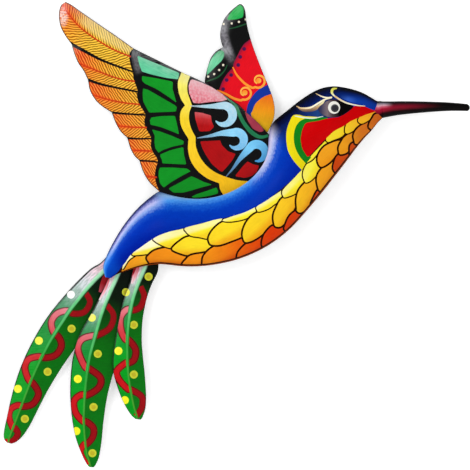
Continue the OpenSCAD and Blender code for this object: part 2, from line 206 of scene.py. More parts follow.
class Wire:
    """A socket of a material's nodes. Python's operators on it add Math nodes.
    A wire that has no socket yet only starts new nodes."""

    def __init__(self, tree, socket=None):
        self.tree = tree
        self.socket = socket

    def node(self, kind, settings=None, inputs=None, out=0):
        """Adds a node: its settings first, then the values, colour codes or wires of its inputs."""
        made = self.tree.nodes.new(kind)
        for name, value in (settings or {}).items():
            if name == "stops":
                self.fill_ramp(made.color_ramp, value)
            else:
                setattr(made, name, value)
        for name, value in (inputs or {}).items():
            if isinstance(value, Wire):
                self.tree.links.new(value.socket, made.inputs[name])
            else:
                made.inputs[name].default_value = linear(value) if isinstance(value, str) else value
        return Wire(self.tree, made.outputs[out])

    @staticmethod
    def fill_ramp(ramp, stops):
        while len(ramp.elements) < len(stops):
            ramp.elements.new(1.0)
        for element, (position, code) in zip(ramp.elements, stops):
            element.position = position
            element.color = linear(code)

    def output(self, name):
        return Wire(self.tree, self.socket.node.outputs[name])

    def math(self, operation, *values):
        return self.node("ShaderNodeMath", {"operation": operation}, dict(enumerate(values)))

    def __add__(self, other):
        return self.math("ADD", self, other)

    def __sub__(self, other):
        return self.math("SUBTRACT", self, other)

    def __mul__(self, other):
        return self.math("MULTIPLY", self, other)

    def __rsub__(self, other):
        return self.math("SUBTRACT", other, self)

    __radd__ = __add__
    __rmul__ = __mul__

    def __abs__(self):
        return self.math("ABSOLUTE", self)

    def rise(self, low, high):
        """0 below low and 1 above high, with a smooth step between."""
        settings = {"interpolation_type": "SMOOTHSTEP"}
        return self.node("ShaderNodeMapRange", settings, {0: self, 1: low, 2: high})

    def ramp(self, *stops):
        return self.node("ShaderNodeValToRGB", {"stops": stops}, {0: self})

    def mix(self, low, high):
        """From one colour to another, with this wire as the share of the second."""
        return self.node("ShaderNodeMix", {"data_type": "RGBA"}, {0: self, 6: low, 7: high}, out=2)

    def times(self, colour):
        settings = {"data_type": "RGBA", "blend_type": "MULTIPLY"}
        return self.node("ShaderNodeMix", settings, {0: 1.0, 6: self, 7: colour}, out=2)

    def parts(self):
        split = self.node("ShaderNodeSeparateXYZ", {}, {0: self})
        return split, split.output("Y"), split.output("Z")

    def map(self, name):
        """The two coordinates of one of the maps that every painted piece carries."""
        return self.node("ShaderNodeUVMap", {"uv_map": name}).parts()[:2]

    def facing(self):
        """Which way the surface looks: along the wall, into the wall and up."""
        return self.node("ShaderNodeNewGeometry", out="Normal").parts()

    def noise(self, x, y, scale, detail=3.0):
        spot = self.node("ShaderNodeCombineXYZ", {}, {0: x, 1: y})
        return self.node("ShaderNodeTexNoise", {}, {"Vector": spot, "Scale": scale, "Detail": detail})


print("cobalt in linear light:", [round(x, 3) for x in linear("0a2db0")[:3]])

# %% [markdown]
# ## Gloss enamel
# Enamel flows on in a thick film, yet each stroke leaves streaks along its own direction, the film ripples a
# little, and a thin clear lacquer lies over all. The streaks are noise, drawn out along the stroke: every
# painted patch carries a map named brush, in millimetres along and across its stroke. The same noise lifts
# the film through a Bump node. A second map, fade, runs from 0 to 1 along the stroke and gives each patch a
# number of its own, and a third, place, says where on the whole piece a point lies. Where the surface looks
# upwards the colour is painted paler, a painted sheen that stands in for the reflection of the light above:
# bloom is how pale it gets there, and shine how strongly the film mirrors.

# %% Gloss enamel
BRISTLES = (0.16, 1.3)
CLOUDS = 0.14
PATCH_SHIFT = 40
FILM = 0.12 * MM
RELIEF = 0.35
LACQUER_ROUGH = 0.3
THICK = (1.16, 1.16, 1.16, 1)
THIN = (0.8, 0.8, 0.82, 1)
DUST = (0.9, 0.88, 0.84, 1)
# The grey that the painted sheen mixes in.
SHEEN_GREY = (0.62, 0.64, 0.66, 1)
NEXT_SHADE = 0.86


def finish(material, colour, rough, height, coat, shine):
    """Joins colour, roughness and relief to the material's own shader."""
    tree = material.node_tree
    shader = tree.nodes["Principled BSDF"]
    start = Wire(tree)
    bump = start.node("ShaderNodeBump", {}, {"Strength": RELIEF, "Distance": FILM, "Height": height})
    for name, wire in (("Base Color", colour), ("Roughness", rough), ("Normal", bump)):
        tree.links.new(wire.socket, shader.inputs[name])
    shader.inputs["Specular IOR Level"].default_value = shine
    shader.inputs["Coat Weight"].default_value = coat
    shader.inputs["Coat Roughness"].default_value = LACQUER_ROUGH
    return material


def enamel(name, colour_of, streak=0.22, rough=0.38, coat=0.04, shine=0.06, bloom=0.5):
    """A gloss paint. colour_of takes a wire and the three maps, and gives the colour before the streaks."""
    material = bpy.data.materials.new(name)
    material.use_nodes = True
    start = Wire(material.node_tree)
    along, across = start.map("brush")
    fade, tint = start.map("fade")
    place = start.map("place")
    shift = tint * PATCH_SHIFT
    bristles = start.noise(along * BRISTLES[0], across * BRISTLES[1] + shift, 1.0)
    cloud = start.noise(along, across + shift, CLOUDS, 2.0)
    colour = colour_of(start, (along, across), (fade, tint), place)
    depth = (bristles - 0.5) * (1.6 * streak) + (cloud - 0.5) * (1.2 * streak)
    shaded = colour.times(depth.rise(0.3, -0.3).mix(THICK, THIN))
    speck = start.noise(along * 0.7, across * 1.4 + shift, 1.6, 2.0).rise(0.66, 0.76) * (0.06 * streak)
    # Painted sheen: surfaces that look up and to the left are painted paler, a painted reflection.
    right, _, up = start.facing()
    upward = up * 0.95 - right * 0.3
    pale = upward.rise(0.03, 0.42) * (cloud + bristles).rise(0.7, 1.2) * bloom
    worked = pale.mix(speck.mix(shaded, DUST), SHEEN_GREY)
    gloss = rough + (cloud - 0.5) * 0.12 + (bristles - 0.5) * 0.1
    return finish(material, worked, gloss, bristles + cloud * 1.5, coat, shine)


def plain(name, code, streak=0.22, **more):
    """An enamel of one colour, a little deeper on some patches than on others."""
    deeper = [c * NEXT_SHADE for c in linear(code)[:3]] + [1]

    def colour_of(start, brush, fade, place):
        return fade[1].mix(code, deeper)
    return enamel(name, colour_of, streak, **more)


def ramped(name, *stops, streak=0.22, **more):
    """An enamel that changes along its stroke."""
    def colour_of(start, brush, fade, place):
        return fade[0].ramp(*stops)
    return enamel(name, colour_of, streak, **more)


BLACK = plain("black_enamel", "030304", streak=0.3, bloom=0.2)
print("first finish:", BLACK.name, "with", len(BLACK.node_tree.nodes), "nodes")

# %% [markdown]
# ## Paints of the near wing
# The long feathers run from gold at the root to red-orange at the tip, hatched with slanting barbs, which
# are many fine strokes in a row. Hundreds of cut strokes would be heavy, so the barbs are a wave in the
# shader, slanted on both sides of the shaft, with noise in its phase so that no two look ruled. Painted
# highlights are masks between colours: a pale band along the rolled leading edge, a pale patch at the
# first tip and a pale sheen on the black.

# %% Paints of the near wing
SHAFT_LEAD = 40
TIP_FADE = 0.034
BARB_PITCH = 2.35
BARB_SLANT = 1.05
BARB_WOBBLE = 2.6
TIP_SHINE = (63.5, 17)
TIP_SHINE_SIZE = (6, 12)
LEAD_SLOPE = 0.667
LEAD_RISE = 42 / PAPER


def feather_colour(start, brush, fade, place):
    along, across = brush
    from_tip = (along - SHAFT_LEAD * SQUARE[0] / MM) * TIP_FADE
    wobble = start.noise(along, across, 0.24, 1.0) * BARB_WOBBLE
    wave = start.math("SINE", (along + abs(across) * BARB_SLANT + wobble) * (2 * math.pi / BARB_PITCH))
    barb = wave.rise(-0.1, 0.7) * start.noise(along * 0.5, across, 0.6).rise(0.15, 0.45)
    gold = from_tip.ramp((0.0, "ea4814"), (0.2, "f47416"), (0.5, "fca41c"), (1.0, "ffc82c"))
    lower = (1 - place[1]).rise(0.1, 0.22)
    # crown: a pale band along the rolled leading edge, away from the tip, is a painted highlight.
    under_lead = 1 - place[1] - place[0] * LEAD_SLOPE + LEAD_RISE
    crown = across.rise(-0.6, -4.0) * under_lead.rise(0.05, 0.03) * from_tip.rise(0.15, 0.6)
    ground = (crown * 0.6).mix((lower * 0.4).mix(gold, "f07c10"), "fdea9c")
    line = from_tip.ramp((0.0, "c0300a"), (0.25, "9c4008"), (0.8, "643a06"))
    pale = (0 - wave).rise(0.2, 1.0) * 0.35
    glow = abs(across).rise(2.2, 0.3) * from_tip.rise(1.0, 0.1) * 0.7
    drawn = (barb * (0.9 - crown * 0.35)).mix(ground, line)
    hatched = glow.mix(pale.mix(drawn, "ffd868"), "ec4410")
    # A painted highlight: a pale, mottled patch on the first feather's tip.
    off_x = (place[0] * PAPER - TIP_SHINE[0]) * (1 / TIP_SHINE_SIZE[0])
    off_y = ((1 - place[1]) * PAPER - TIP_SHINE[1]) * (1 / TIP_SHINE_SIZE[1])
    shine = (off_x * off_x + off_y * off_y).rise(1.0, 0.0) * start.noise(along, across, 0.7).rise(0.3, 0.6)
    return (shine * 0.75).mix(hatched, "f6e4dc")


def with_painted_reflection(name, share, *stops):
    """An enamel that changes along its stroke, with pale spots of painted reflection on it."""
    def colour_of(start, brush, fade, place):
        spots = start.noise(brush[0], brush[1], 0.7).rise(0.36, 0.76) * share
        return spots.mix(fade[0].ramp(*stops), "f2f0f0")
    return enamel(name, colour_of)


def black_with_highlight(share):
    """Black with a painted highlight, pale and mottled, down the middle of its stroke."""
    def colour_of(start, brush, fade, place):
        soft = abs(brush[1]).rise(4.4, 0.2) * fade[0].rise(0.0, 0.3) * fade[0].rise(1.0, 0.65)
        spots = start.noise(brush[0], brush[1], 0.55).rise(0.2, 0.75) * 0.7 + 0.3
        return (soft * spots * share).mix("030304", "bcb8c0")
    return colour_of


FEATHER = enamel("feather_orange", feather_colour, streak=0.16, bloom=0.2)
SHAFT = plain("shaft_red", "d0360c")
FEATHER_EDGE = plain("feather_edge_brown", "6b3010")
LEAF = plain("leaf_green", "069420")
MINT = plain("mint_green", "66d2a0", streak=0.4)
BAND = ramped("band_yellow", (0.0, "fbf084"), (0.15, "f8ec62"), (0.35, "fad62a"), (1.0, "fab80e"))
# Painted reflection: the pink panel is palest at its top, and it and the first two curls carry pale spots.
PINK = with_painted_reflection("panel_pink_painted_reflection", 0.35, (0.0, "f0aab0"), (0.5, "ea8e9a"), (1.0, "dc6676"))
PANEL = plain("panel_red", "b6060c", streak=0.3)
# A painted highlight: the first red panel's second patch, pale pink at its top.
RED_PANEL_HIGHLIGHT = ramped("panel_red_painted_highlight", (0.0, "d86a70"), (0.4, "c22a2e"), (0.7, "b2060c"), streak=0.4)
PALE_SKY = with_painted_reflection("scroll_pale_blue", 0.3, (0.0, "98aab4"), (0.25, "a0d0de"), (0.5, "b0dcf0"), (1.0, "8cd0e8"))
SKY = with_painted_reflection("scroll_sky_blue", 0.15, (0.0, "6a88a4"), (0.25, "7cbcda"), (0.5, "8cd8fa"), (1.0, "68b0de"))
DEEP_SKY = with_painted_reflection("scroll_deep_blue", 0.0, (0.0, "5c7494"), (0.25, "5c98c0"), (0.5, "7ed0f6"), (1.0, "44a0d8"))
NEAR_BLACK_HIGHLIGHT = enamel("black_with_painted_highlight", black_with_highlight(0.3), streak=0.3)
TEAL = plain("line_teal", "1f7c4e", streak=0.5)
LENS = plain("lens_pink", "a8384c", streak=0.5)
print("near wing paints:", FEATHER.name, LEAF.name, BAND.name, PINK.name, SKY.name)

# %% [markdown]
# ## Cutting a sheet along its paint
# Every sheet of the bird is made the same way: the outline and all painted edges go into one constrained
# triangulation, with extra points between them, so that each triangle lies wholly in one colour. The flat
# triangles are then lifted on to the formed surface. Boolean cuts or texture masks could divide the colours
# too, but the first leave bad triangles and the second blur at the edges.

# %% Cutting a sheet along its paint
Patch = namedtuple("Patch", "paint shape spine", defaults=[None])
ROW_GAP = 0.87
CLEARANCE = 0.55
MERGE = 1e-4


def inside(points, shape):
    """Which points lie in a closed line, counting its windings."""
    found = np.zeros(len(points), bool)
    near = np.all((points >= shape.min(0)) & (points <= shape.max(0)), 1)
    x, y = points[near, 0, None], points[near, 1, None]
    a, b = shape, np.roll(shape, -1, 0)
    side = (b[:, 0] - a[:, 0]) * (y - a[:, 1]) - (x - a[:, 0]) * (b[:, 1] - a[:, 1])
    rising = (a[:, 1] <= y) & (b[:, 1] > y) & (side > 0)
    falling = (a[:, 1] > y) & (b[:, 1] <= y) & (side < 0)
    found[near] = rising.sum(1) != falling.sum(1)
    return found


def split_long(line, step):
    """A closed line with no side longer than a step."""
    made = []
    for a, b in zip(line, np.roll(line, -1, 0)):
        count = max(1, math.ceil(np.hypot(*(b - a)) / step))
        made.extend(a + (b - a) * k / count for k in range(count))
    return np.array(made)


def filler(loops, step):
    """Points in rows inside the first loop, clear of every line."""
    low, high = loops[0].min(0), loops[0].max(0)
    across = np.arange(low[0], high[0], step)
    down = np.arange(low[1], high[1], step * ROW_GAP)
    grid = np.stack(np.meshgrid(across, down), 2)
    grid[1::2, :, 0] += step / 2
    spots = grid.reshape(-1, 2)
    spots = spots[inside(spots, loops[0])]
    lines = np.vstack(loops)
    tree = KDTree(len(lines))
    for k, p in enumerate(lines):
        tree.insert((*p, 0), k)
    tree.balance()
    return np.array([p for p in spots if tree.find((*p, 0))[2] > step * CLEARANCE])


def cut(outline, holes, shapes, step):
    """Points and triangles of the sheet inside the outline, divided along every shape."""
    loops = [split_long(line, step) for line in (outline, *holes, *shapes)]
    starts = np.cumsum([0] + [len(loop) for loop in loops])
    edges = [(s + k, s + (k + 1) % len(loop)) for s, loop in zip(starts, loops) for k in range(len(loop))]
    rims = []
    for s, loop in zip(starts, loops[:1 + len(holes)]):
        order = list(range(s, s + len(loop)))
        rims.append(order if area(loop) > 0 else order[::-1])
    points = [Vector(p) for p in np.vstack([*loops, filler(loops, step)])]
    flat, _, faces, _, _, owners = delaunay_2d_cdt(points, edges, rims, 0, MERGE)
    triangles = np.array([f for f, own in zip(faces, owners) if list(own) == [0]])
    used, triangles = np.unique(triangles, return_inverse=True)
    return np.array([tuple(p) for p in flat])[used], triangles.reshape(-1, 3)


def nearest(points, line):
    """How far along an open line the nearest place to each point is, and the signed distance to it."""
    a, ab = line[:-1], np.diff(line, axis=0)
    length = np.hypot(*ab.T)
    rel = points[:, None] - a
    t = np.clip((rel * ab).sum(2) / length ** 2, 0, 1)
    off = rel - t[..., None] * ab
    gap = np.hypot(off[..., 0], off[..., 1])
    k = gap.argmin(1)
    i = np.arange(len(points))
    side = np.sign(ab[k, 0] * rel[i, k, 1] - ab[k, 1] * rel[i, k, 0])
    return lengths(line)[k] + t[i, k] * length[k], gap[i, k] * side


test_points, test_triangles = cut(dot((0, 0), 20), [], [dot((4, 0), 5)], 3)
print("a test disc:", len(test_points), "points,", len(test_triangles), "triangles")

# %% [markdown]
# ## From flat triangles to a steel sheet
# A cut sheet has a front, a back and a rounded edge between them, with the paint wrapped over it. The piece
# gets both faces and an edge of five rows, the first on the front and the last on the back, so it is one
# closed mesh. Its normals come from the formed surface itself, because small triangles along a brush line
# would show in the gloss. A Solidify modifier gives the thickness as well, but it can't round the edge or
# follow the surface's own normals.

# %% From flat triangles to a steel sheet
EDGE_R = 0.2 * MM
EDGE_ROWS = 5
NUDGE = 0.05
GOLDEN = 0.618


def edges_of(triangles, count):
    """The sheet's boundary edges, each with the sheet on its left."""
    sides = np.vstack([triangles[:, [0, 1]], triangles[:, [1, 2]], triangles[:, [2, 0]]])
    key = sides[:, 0] * count + sides[:, 1]
    back = sides[:, 1] * count + sides[:, 0]
    return sides[~np.isin(key, back)]


def outward(flat, edges):
    """A unit vector out of the sheet at each boundary point, and zero inside."""
    out = beside(flat[edges[:, 1]] - flat[edges[:, 0]])
    total = np.zeros_like(flat)
    np.add.at(total, edges[:, 0], out)
    np.add.at(total, edges[:, 1], out)
    return total / np.maximum(np.hypot(*total.T), TINY)[:, None]


def unit(v):
    return v / np.maximum(np.linalg.norm(v, axis=1), TINY)[:, None]


def surface_normal(lift, flat, depth):
    """The formed surface's own normal, pointing out of its front."""
    tiny = 0.02
    du = lift(flat + (tiny, 0), depth) - lift(flat - (tiny, 0), depth)
    dv = lift(flat + (0, tiny), depth) - lift(flat - (0, tiny), depth)
    normal = unit(np.cross(du, dv))
    ahead = lift(flat, depth * 0) - lift(flat, depth * 0 + 1)
    return normal * np.sign((normal * ahead).sum(1))[:, None]


def spine_of(shape):
    """A straight stroke down the longer way of a patch."""
    middle = shape.mean(0)
    way = np.linalg.svd(shape - middle, full_matrices=False)[2][0]
    way = way * (1 if way[0] > 0 else -1)
    reach = (shape - middle) @ way
    return np.array([middle + way * reach.min(), middle + way * reach.max()])


def stroke_maps(paper, patch, number):
    """The brush and fade maps of a patch at points on the paper."""
    spine = np.asarray(spine_of(patch.shape) if patch.spine is None else patch.spine, float)
    along, across = nearest(paper, spine)
    whole = lengths(spine)[-1]
    tint = np.full(len(paper), (number * GOLDEN) % 1)
    return np.stack([along, across], 1) * SQUARE[0] / MM, np.stack([along / whole, tint], 1)


print("a sheet's edge has", EDGE_ROWS, "rows and a radius of", round(EDGE_R / MM, 2), "mm")

# %% A painted sheet
def sheet_piece(name, node, outline, lift, patches, coats, step, place, holes=()):
    """Builds a painted sheet from its outline, its formed surface and its patches.
    coats are the paint under the patches, on the edge and on the back."""
    shapes = [p.shape for p in patches]
    flat, triangles = cut(outline, holes, shapes, step)
    count = len(flat)
    number = np.zeros(len(triangles), int)
    for k, shape in enumerate(shapes, 1):
        number[inside(flat[triangles].mean(1), shape)] = k
    edges = edges_of(triangles, count)
    out = outward(flat, edges)
    rim = np.unique(edges)
    edge_r = EDGE_R / SQUARE[0]
    rows, depths = [flat - out * edge_r], [np.zeros(count)]
    angles = np.radians(np.linspace(90, -90, EDGE_ROWS))
    for a in angles[1:-1]:
        rows.append(flat[rim] - out[rim] * edge_r * (1 - math.cos(a)))
        depths.append(np.full(len(rim), 0.5 - 0.5 * math.sin(a)))
    rows.append(rows[0])
    depths.append(np.ones(count))
    points = lift(np.vstack(rows), np.concatenate(depths))
    front = surface_normal(lift, rows[0], depths[0])
    away = unit(lift(flat[rim] + out[rim] * NUDGE, depths[0][rim]) - lift(flat[rim], depths[0][rim]))
    turned_out = [unit(away * math.cos(a) + front[rim] * math.sin(a)) for a in angles[1:-1]]
    normals = [front, *turned_out, -front]
    corner = points[triangles]
    facing = np.cross(corner[:, 1] - corner[:, 0], corner[:, 2] - corner[:, 0])
    flipped = (facing * front[triangles[:, 0]]).sum() < 0
    place_in_rim = np.full(count, -1)
    place_in_rim[rim] = np.arange(len(rim))
    starts = [0] + [count + k * len(rim) for k in range(EDGE_ROWS - 2)]
    last = count + (EDGE_ROWS - 2) * len(rim)
    ladders = [edges] + [place_in_rim[edges] + s for s in starts[1:]] + [edges + last]
    quads = [np.hstack([a[:, ::-1], b]) for a, b in zip(ladders, ladders[1:])]
    faces = [triangles, triangles[:, ::-1] + last, *quads]
    faces = [f[:, ::-1] if flipped else f for f in faces]
    counts = [len(f) for f in faces]
    mesh = painted_mesh(name, points, faces, counts, number, patches, coats, place(np.vstack(rows)))
    mesh.normals_split_custom_set_from_vertices(np.vstack(normals).tolist())
    put(mesh, node)


def smooth_mesh(name, points, faces, paints):
    mesh = bpy.data.meshes.new(name)
    mesh.from_pydata(np.asarray(points).tolist(), [], faces)
    for paint in paints:
        mesh.materials.append(paint)
    mesh.polygons.foreach_set("use_smooth", np.ones(len(faces), bool))
    return mesh


def painted_mesh(name, points, faces, counts, number, patches, coats, places):
    paints = list(dict.fromkeys([*coats, *[p.paint for p in patches]]))
    mesh = smooth_mesh(name, points, [f for group in faces for f in group.tolist()], paints)
    slots = np.array([paints.index(coats[0])] + [paints.index(p.paint) for p in patches])
    index = np.concatenate([slots[number], np.full(counts[1], paints.index(coats[2])),
                            np.full(sum(counts[2:]), paints.index(coats[1]))])
    mesh.polygons.foreach_set("material_index", index.astype(np.int32))
    paper = on_paper(points[:, [0, 2]])
    corners = np.concatenate([f.ravel() for f in faces])
    brush = paper[corners] * SQUARE[0] / MM
    fade = np.tile([0.5, 0.0], (len(corners), 1))
    owner = np.concatenate([np.repeat(number, 3), np.zeros(len(corners) - 3 * len(number), int)])
    for k, patch in enumerate(patches, 1):
        mine = owner == k
        if mine.any():
            brush[mine], fade[mine] = stroke_maps(paper[corners[mine]], patch, k)
    add_maps(mesh, brush, fade, places[corners])
    return mesh


def add_maps(mesh, brush, fade, place):
    for title, values in (("brush", brush), ("fade", fade), ("place", place)):
        mesh.uv_layers.new(name=title).data.foreach_set("uv", values.astype(np.float32).ravel())


def in_scene(name, data):
    made = bpy.data.objects.new(name, data)
    bpy.context.scene.collection.objects.link(made)
    return made


def put(mesh, node):
    """Puts a finished mesh in the frame, in place of one of the construction's nodes."""
    piece = in_scene(mesh.name, mesh)
    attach(piece, "root")
    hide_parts(node)
    points = np.array([v.co for v in mesh.vertices])
    low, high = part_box(node)
    off = max(np.abs(points.min(0) - low).max(), np.abs(points.max(0) - high).max())
    print(mesh.name, "has", len(mesh.polygons), "faces and", len(mesh.materials), "paints,",
          f"its box is off by {off / MM:.2f} mm")


def paper_place(flat):
    """Where on the whole paper a point lies, from 0 to 1 across and up."""
    return flat / PAPER * UP + (0, 1)


print("the paper's first and last corner:", paper_place(np.array([(0, 0), (PAPER, PAPER)])).tolist())

# %% [markdown]
# ## Depth of the wings
# The near wing is a flat sheet whose front edge is rolled back over 10 mm, and the far wing is the same,
# 3.7 mm further back, with a root that steps up behind the near wing so that the two can be welded. These are
# the construction's own rules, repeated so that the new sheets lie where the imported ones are.

# %% Depth of the wings
BEND = 2.5 * MM
BEND_W = 10 * MM
FAR_GAP = 3.7 * MM
STEP_L = 8 * MM
FADE_FROM, FADE_TO = 225, 255

near_tip = [(72, 44.5), (66, 36.5), (61, 27), (59.3, 17), (60, 9), (62.5, 3.8)]
near_lead = [
    (66, 2.2), (72, 5.2), (79, 10.3), (88, 16.6), (98, 23.6), (108, 30.4), (115, 35.2), (121, 39.4),
    (127, 43.7), (133, 48), (140, 51.7), (147, 55.1), (154, 58.5), (161, 62), (167, 65), (173, 68),
    (179, 71), (185, 73.8), (191, 76.4), (197, 79.1), (203, 82), (209, 85.3), (215, 89), (219, 91.6),
    (224, 95.1), (230, 99.4), (236, 103.8), (242, 108.8), (248, 113.9), (254, 119.1), (259, 124),
    (264, 129.3), (270, 135.5)]
near_tips = [near_tip[::-1],
             [(72, 44.5), (74, 52), (78.5, 63), (84, 71), (88.3, 80)],
             [(88.3, 80), (90.5, 91), (96.5, 101), (104, 107.5), (112, 112.5)],
             [(112, 112.5), (115.5, 122), (120.5, 131), (127.5, 138)],
             [(127.5, 138), (130.5, 148), (134.5, 155.5), (139.5, 160.5)],
             [(139.5, 160.5), (143.5, 172), (149.5, 182), (158.5, 190.5)]]
near_bent = on_wall(near_tip + near_lead)
near_front = on_wall(curve(near_lead, 4))


def ease(t):
    t = np.clip(t, 0, 1)
    return t * t * (3 - 2 * t)


def rolled(wall, line):
    """1 on an edge, falling to 0 over the width of the bend."""
    return np.clip(1 - np.abs(nearest(wall, line)[1]) / BEND_W, 0, 1) ** 2


def near_depth(squares):
    wall = on_wall(squares)
    keep = np.clip((FADE_TO - squares[:, 0]) / (FADE_TO - FADE_FROM), 0, 1)
    return RIM - BEND * keep * rolled(wall, near_bent)


def standing(depth_of):
    """A lift for a sheet whose front stands depth_of metres out from the wall."""
    def lift(squares, depth):
        wall = on_wall(squares)
        return np.stack([wall[:, 0], depth * SHEET - depth_of(squares), wall[:, 1]], 1)
    return lift


print("near wing depth at its tip:", np.round(near_depth(np.array([[66.0, 4.0]])) / MM, 2), "mm")

# %% [markdown]
# ## The body's rails and sections
# The body is a hollow half-round shell between two rails, the back and the belly. Each section between them
# is half an ellipse, round at the beak's socket and flatter behind the head. The rails follow the picture up
# to a millimetre outside the construction's, with a fuller chin. The shell can't be triangulated on the
# paper, because it stands upright at its rims, so it is unrolled first: along the rails and round the
# sections.

# %% The body's rails
BEAK_R = 5.1 * MM
BEAK_TIP_R = 2.3 * MM
BEAK_ROOT = 8 * MM
BEAK_CLEAR = 0.15 * MM
SOCKET_L = 3 * MM
DOME = 0.85
beak_base = on_wall((381, 109.8))
beak_end = on_wall((468.7, 106.6))
BEAK_L = np.hypot(*(beak_end - beak_base))
beak_way = (beak_end - beak_base) / BEAK_L
beak_up = np.array([-beak_way[1], beak_way[0]])
mouth_r = BEAK_R + BEAK_CLEAR + SHEET

back_front = [
    (362, 93), (347, 88.3), (332, 86.5), (317.7, 89.6), (302.5, 98.4), (286.5, 110.8), (272.2, 123.1),
    (268.5, 136), (267.5, 150), (264, 163), (256.5, 174.5), (245, 184), (231, 192.3), (215, 197.5),
    (198, 199), (181, 197), (168, 194), (158.5, 191)]
back_rear = [
    (158.5, 191), (147.6, 199), (135.4, 210.4), (123.4, 225.5), (113.5, 241.7), (107, 255), (103.5, 266),
    (105.5, 276.5)]
belly_front = [
    (370.4, 131), (363.2, 138.6), (355.8, 147.6), (349, 156.7), (341.5, 166.7), (334, 176.3), (325.1, 187.8),
    (315.2, 199.9), (303.2, 213.9), (289, 229), (271.8, 242.5), (253.6, 252.5), (234.3, 259.7),
    (215.1, 263.9), (198, 265.7), (182, 265.6), (170, 264.3), (161, 263.5)]
belly_rear = [
    (161, 263.5), (153, 264), (144, 265.5), (136.5, 267.2), (129.5, 269.2), (122.5, 271.5), (116.5, 274),
    (111, 277.5)]
FINE = 8
STATIONS = 2
CHIN = 2.6 * MM
DOME_FROM, DOME_OVER = 1, 6
NAPE_FROM, NAPE_OVER = 14, 10
RUMP_OVER = 6
FLOW_OVER = 0.5
SLICES = 700


def rail(side, front, rear):
    """One rail, from the socket's mouth to the rump, in metres along the wall."""
    mouth = beak_base + beak_up * mouth_r * side
    inner = mouth - beak_way * SOCKET_L + beak_up * side * (CHIN if side < 0 else 0)
    head = np.vstack([inner, on_wall(front)])
    return np.vstack([mouth, runs(head, on_wall(rear), steps=FINE)])


back_rail = rail(1, back_front, back_rear)
belly_rail = rail(-1, belly_front, belly_rear)
station = np.concatenate([[0], 1 + np.arange(len(back_rail) - 1) * STATIONS / FINE])
LAST = station[-1]
ALONG = 6.6
ROUND = 28.0
FAR = 100.0


def at_station(t, line):
    """Points of a rail at stations counted from the socket's mouth."""
    return np.stack([np.interp(t, station, line[:, k]) for k in (0, 1)], 1)


def soft(line):
    """A rail with its corners eased, as the pressed sheet flows past them."""
    half = 30
    near = np.exp(-np.linspace(-2.5, 2.5, 2 * half + 1) ** 2 / 2)
    wide = np.pad(line, ((half, half), (0, 0)), "reflect", reflect_type="odd")
    return np.stack([np.convolve(wide[:, k], near / near.sum(), "valid") for k in (0, 1)], 1)


soft_back = soft(back_rail)


def eased_back(t, turn):
    """The back rail, which flows into its soft form away from the rim and behind the head."""
    flow = ease(turn / FLOW_OVER) * ease((t - NAPE_FROM) / NAPE_OVER) * ease((LAST - t) / RUMP_OVER)
    sharp = at_station(t, back_rail)
    return sharp + (at_station(t, soft_back) - sharp) * flow[:, None]


print("body rails:", len(back_rail), "points each, last station", LAST)

# %% The body's sections
def body_lift(flat, depth):
    """Points on the body: flat is along the rails and round the section, depth 0 outside and 1 inside."""
    t, turn = flat[:, 0] / ALONG, flat[:, 1] / ROUND
    back, belly = eased_back(t, turn), at_station(t, belly_rail)
    half = np.hypot(*(back - belly).T) / 2
    way = (back - belly) / 2 / half[:, None]
    rise = half * (1 + (DOME - 1) * ease((t - DOME_FROM) / DOME_OVER))
    wall = (back + belly) / 2 + way * ((half - depth * SHEET) * np.cos(turn))[:, None]
    return np.stack([wall[:, 0], -RIM - (rise - depth * SHEET) * np.sin(turn), wall[:, 1]], 1)


def unroll(squares):
    """Where points on the paper lie on the unrolled body."""
    t = np.linspace(0, LAST, SLICES)
    back, belly = eased_back(t, np.full(len(t), math.pi / 2)), at_station(t, belly_rail)
    across = belly - back
    rel = on_wall(squares)[:, None] - back
    side = across[:, 0] * rel[..., 1] - across[:, 1] * rel[..., 0]
    share = (rel * across).sum(2) / (across ** 2).sum(1)
    crosses = np.sign(side[:, 1:]) != np.sign(side[:, :-1])
    length = np.hypot(*across[:-1].T)
    gap = np.abs(side[:, :-1]) / length
    off_middle = np.abs(share[:, :-1] - 0.5)
    beyond = np.maximum(off_middle - 0.5, 0) * length / MM
    k = np.where(crosses, beyond + off_middle * 0.1, FAR + gap).argmin(1)
    i = np.arange(len(k))
    step = side[i, k] / (side[i, k] - side[i, k + 1] + TINY * MM)
    reach = 1 - 2 * (share[i, k] + (share[i, k + 1] - share[i, k]) * step)
    turn = np.arccos(np.clip(reach, -1, 1)) - np.maximum(np.abs(reach) - 1, 0) * np.sign(reach)
    return np.stack([(t[k] + (t[1] - t[0]) * step) * ALONG, turn * ROUND], 1)


print("the eye on the unrolled body:", np.round(unroll(np.array([[333.0, 108.0]])), 1))

# %% [markdown]
# ## The near wing
# The big wing carries the richest painting, and six hatched feathers take up its outer half. A painter lays
# the black ground first and then the colours, and the lists below keep that order: a later patch lies over
# an earlier one.

# %% The near wing's feathers
feather_rims = [
    [(133, 49), (130, 53), (129.5, 58), (131, 66), (133, 72)],
    [(133, 72), (134, 80), (137, 88), (138, 92)],
    [(138, 92), (137, 95), (139, 103), (143, 110), (146, 115)],
    [(146, 115), (144.5, 121), (146, 128), (150, 135), (151.5, 138.5)],
    [(151.5, 138.5), (151, 146), (153, 152), (157, 158), (158, 162)],
    [(158, 162), (156, 168), (155, 176), (156.5, 184), (159, 190), (160, 194)]]
feather_gaps = [
    [(60, -6), (95, 14), (133, 40), (133, 49)],
    [(64, 40), (72, 44.5), (85, 51.5), (100, 59.5), (115, 65.5), (133, 72)],
    [(82, 77), (88.5, 80), (100, 84), (115, 87.5), (138, 92)],
    [(104, 111.8), (112, 112.5), (125, 113.8), (146, 115)],
    [(118, 137.5), (127, 138), (138, 138.7), (151.5, 138.5)],
    [(130, 160), (139.5, 160.5), (150, 161), (158, 162)],
    [(140, 192), (150, 193), (160, 194)]]
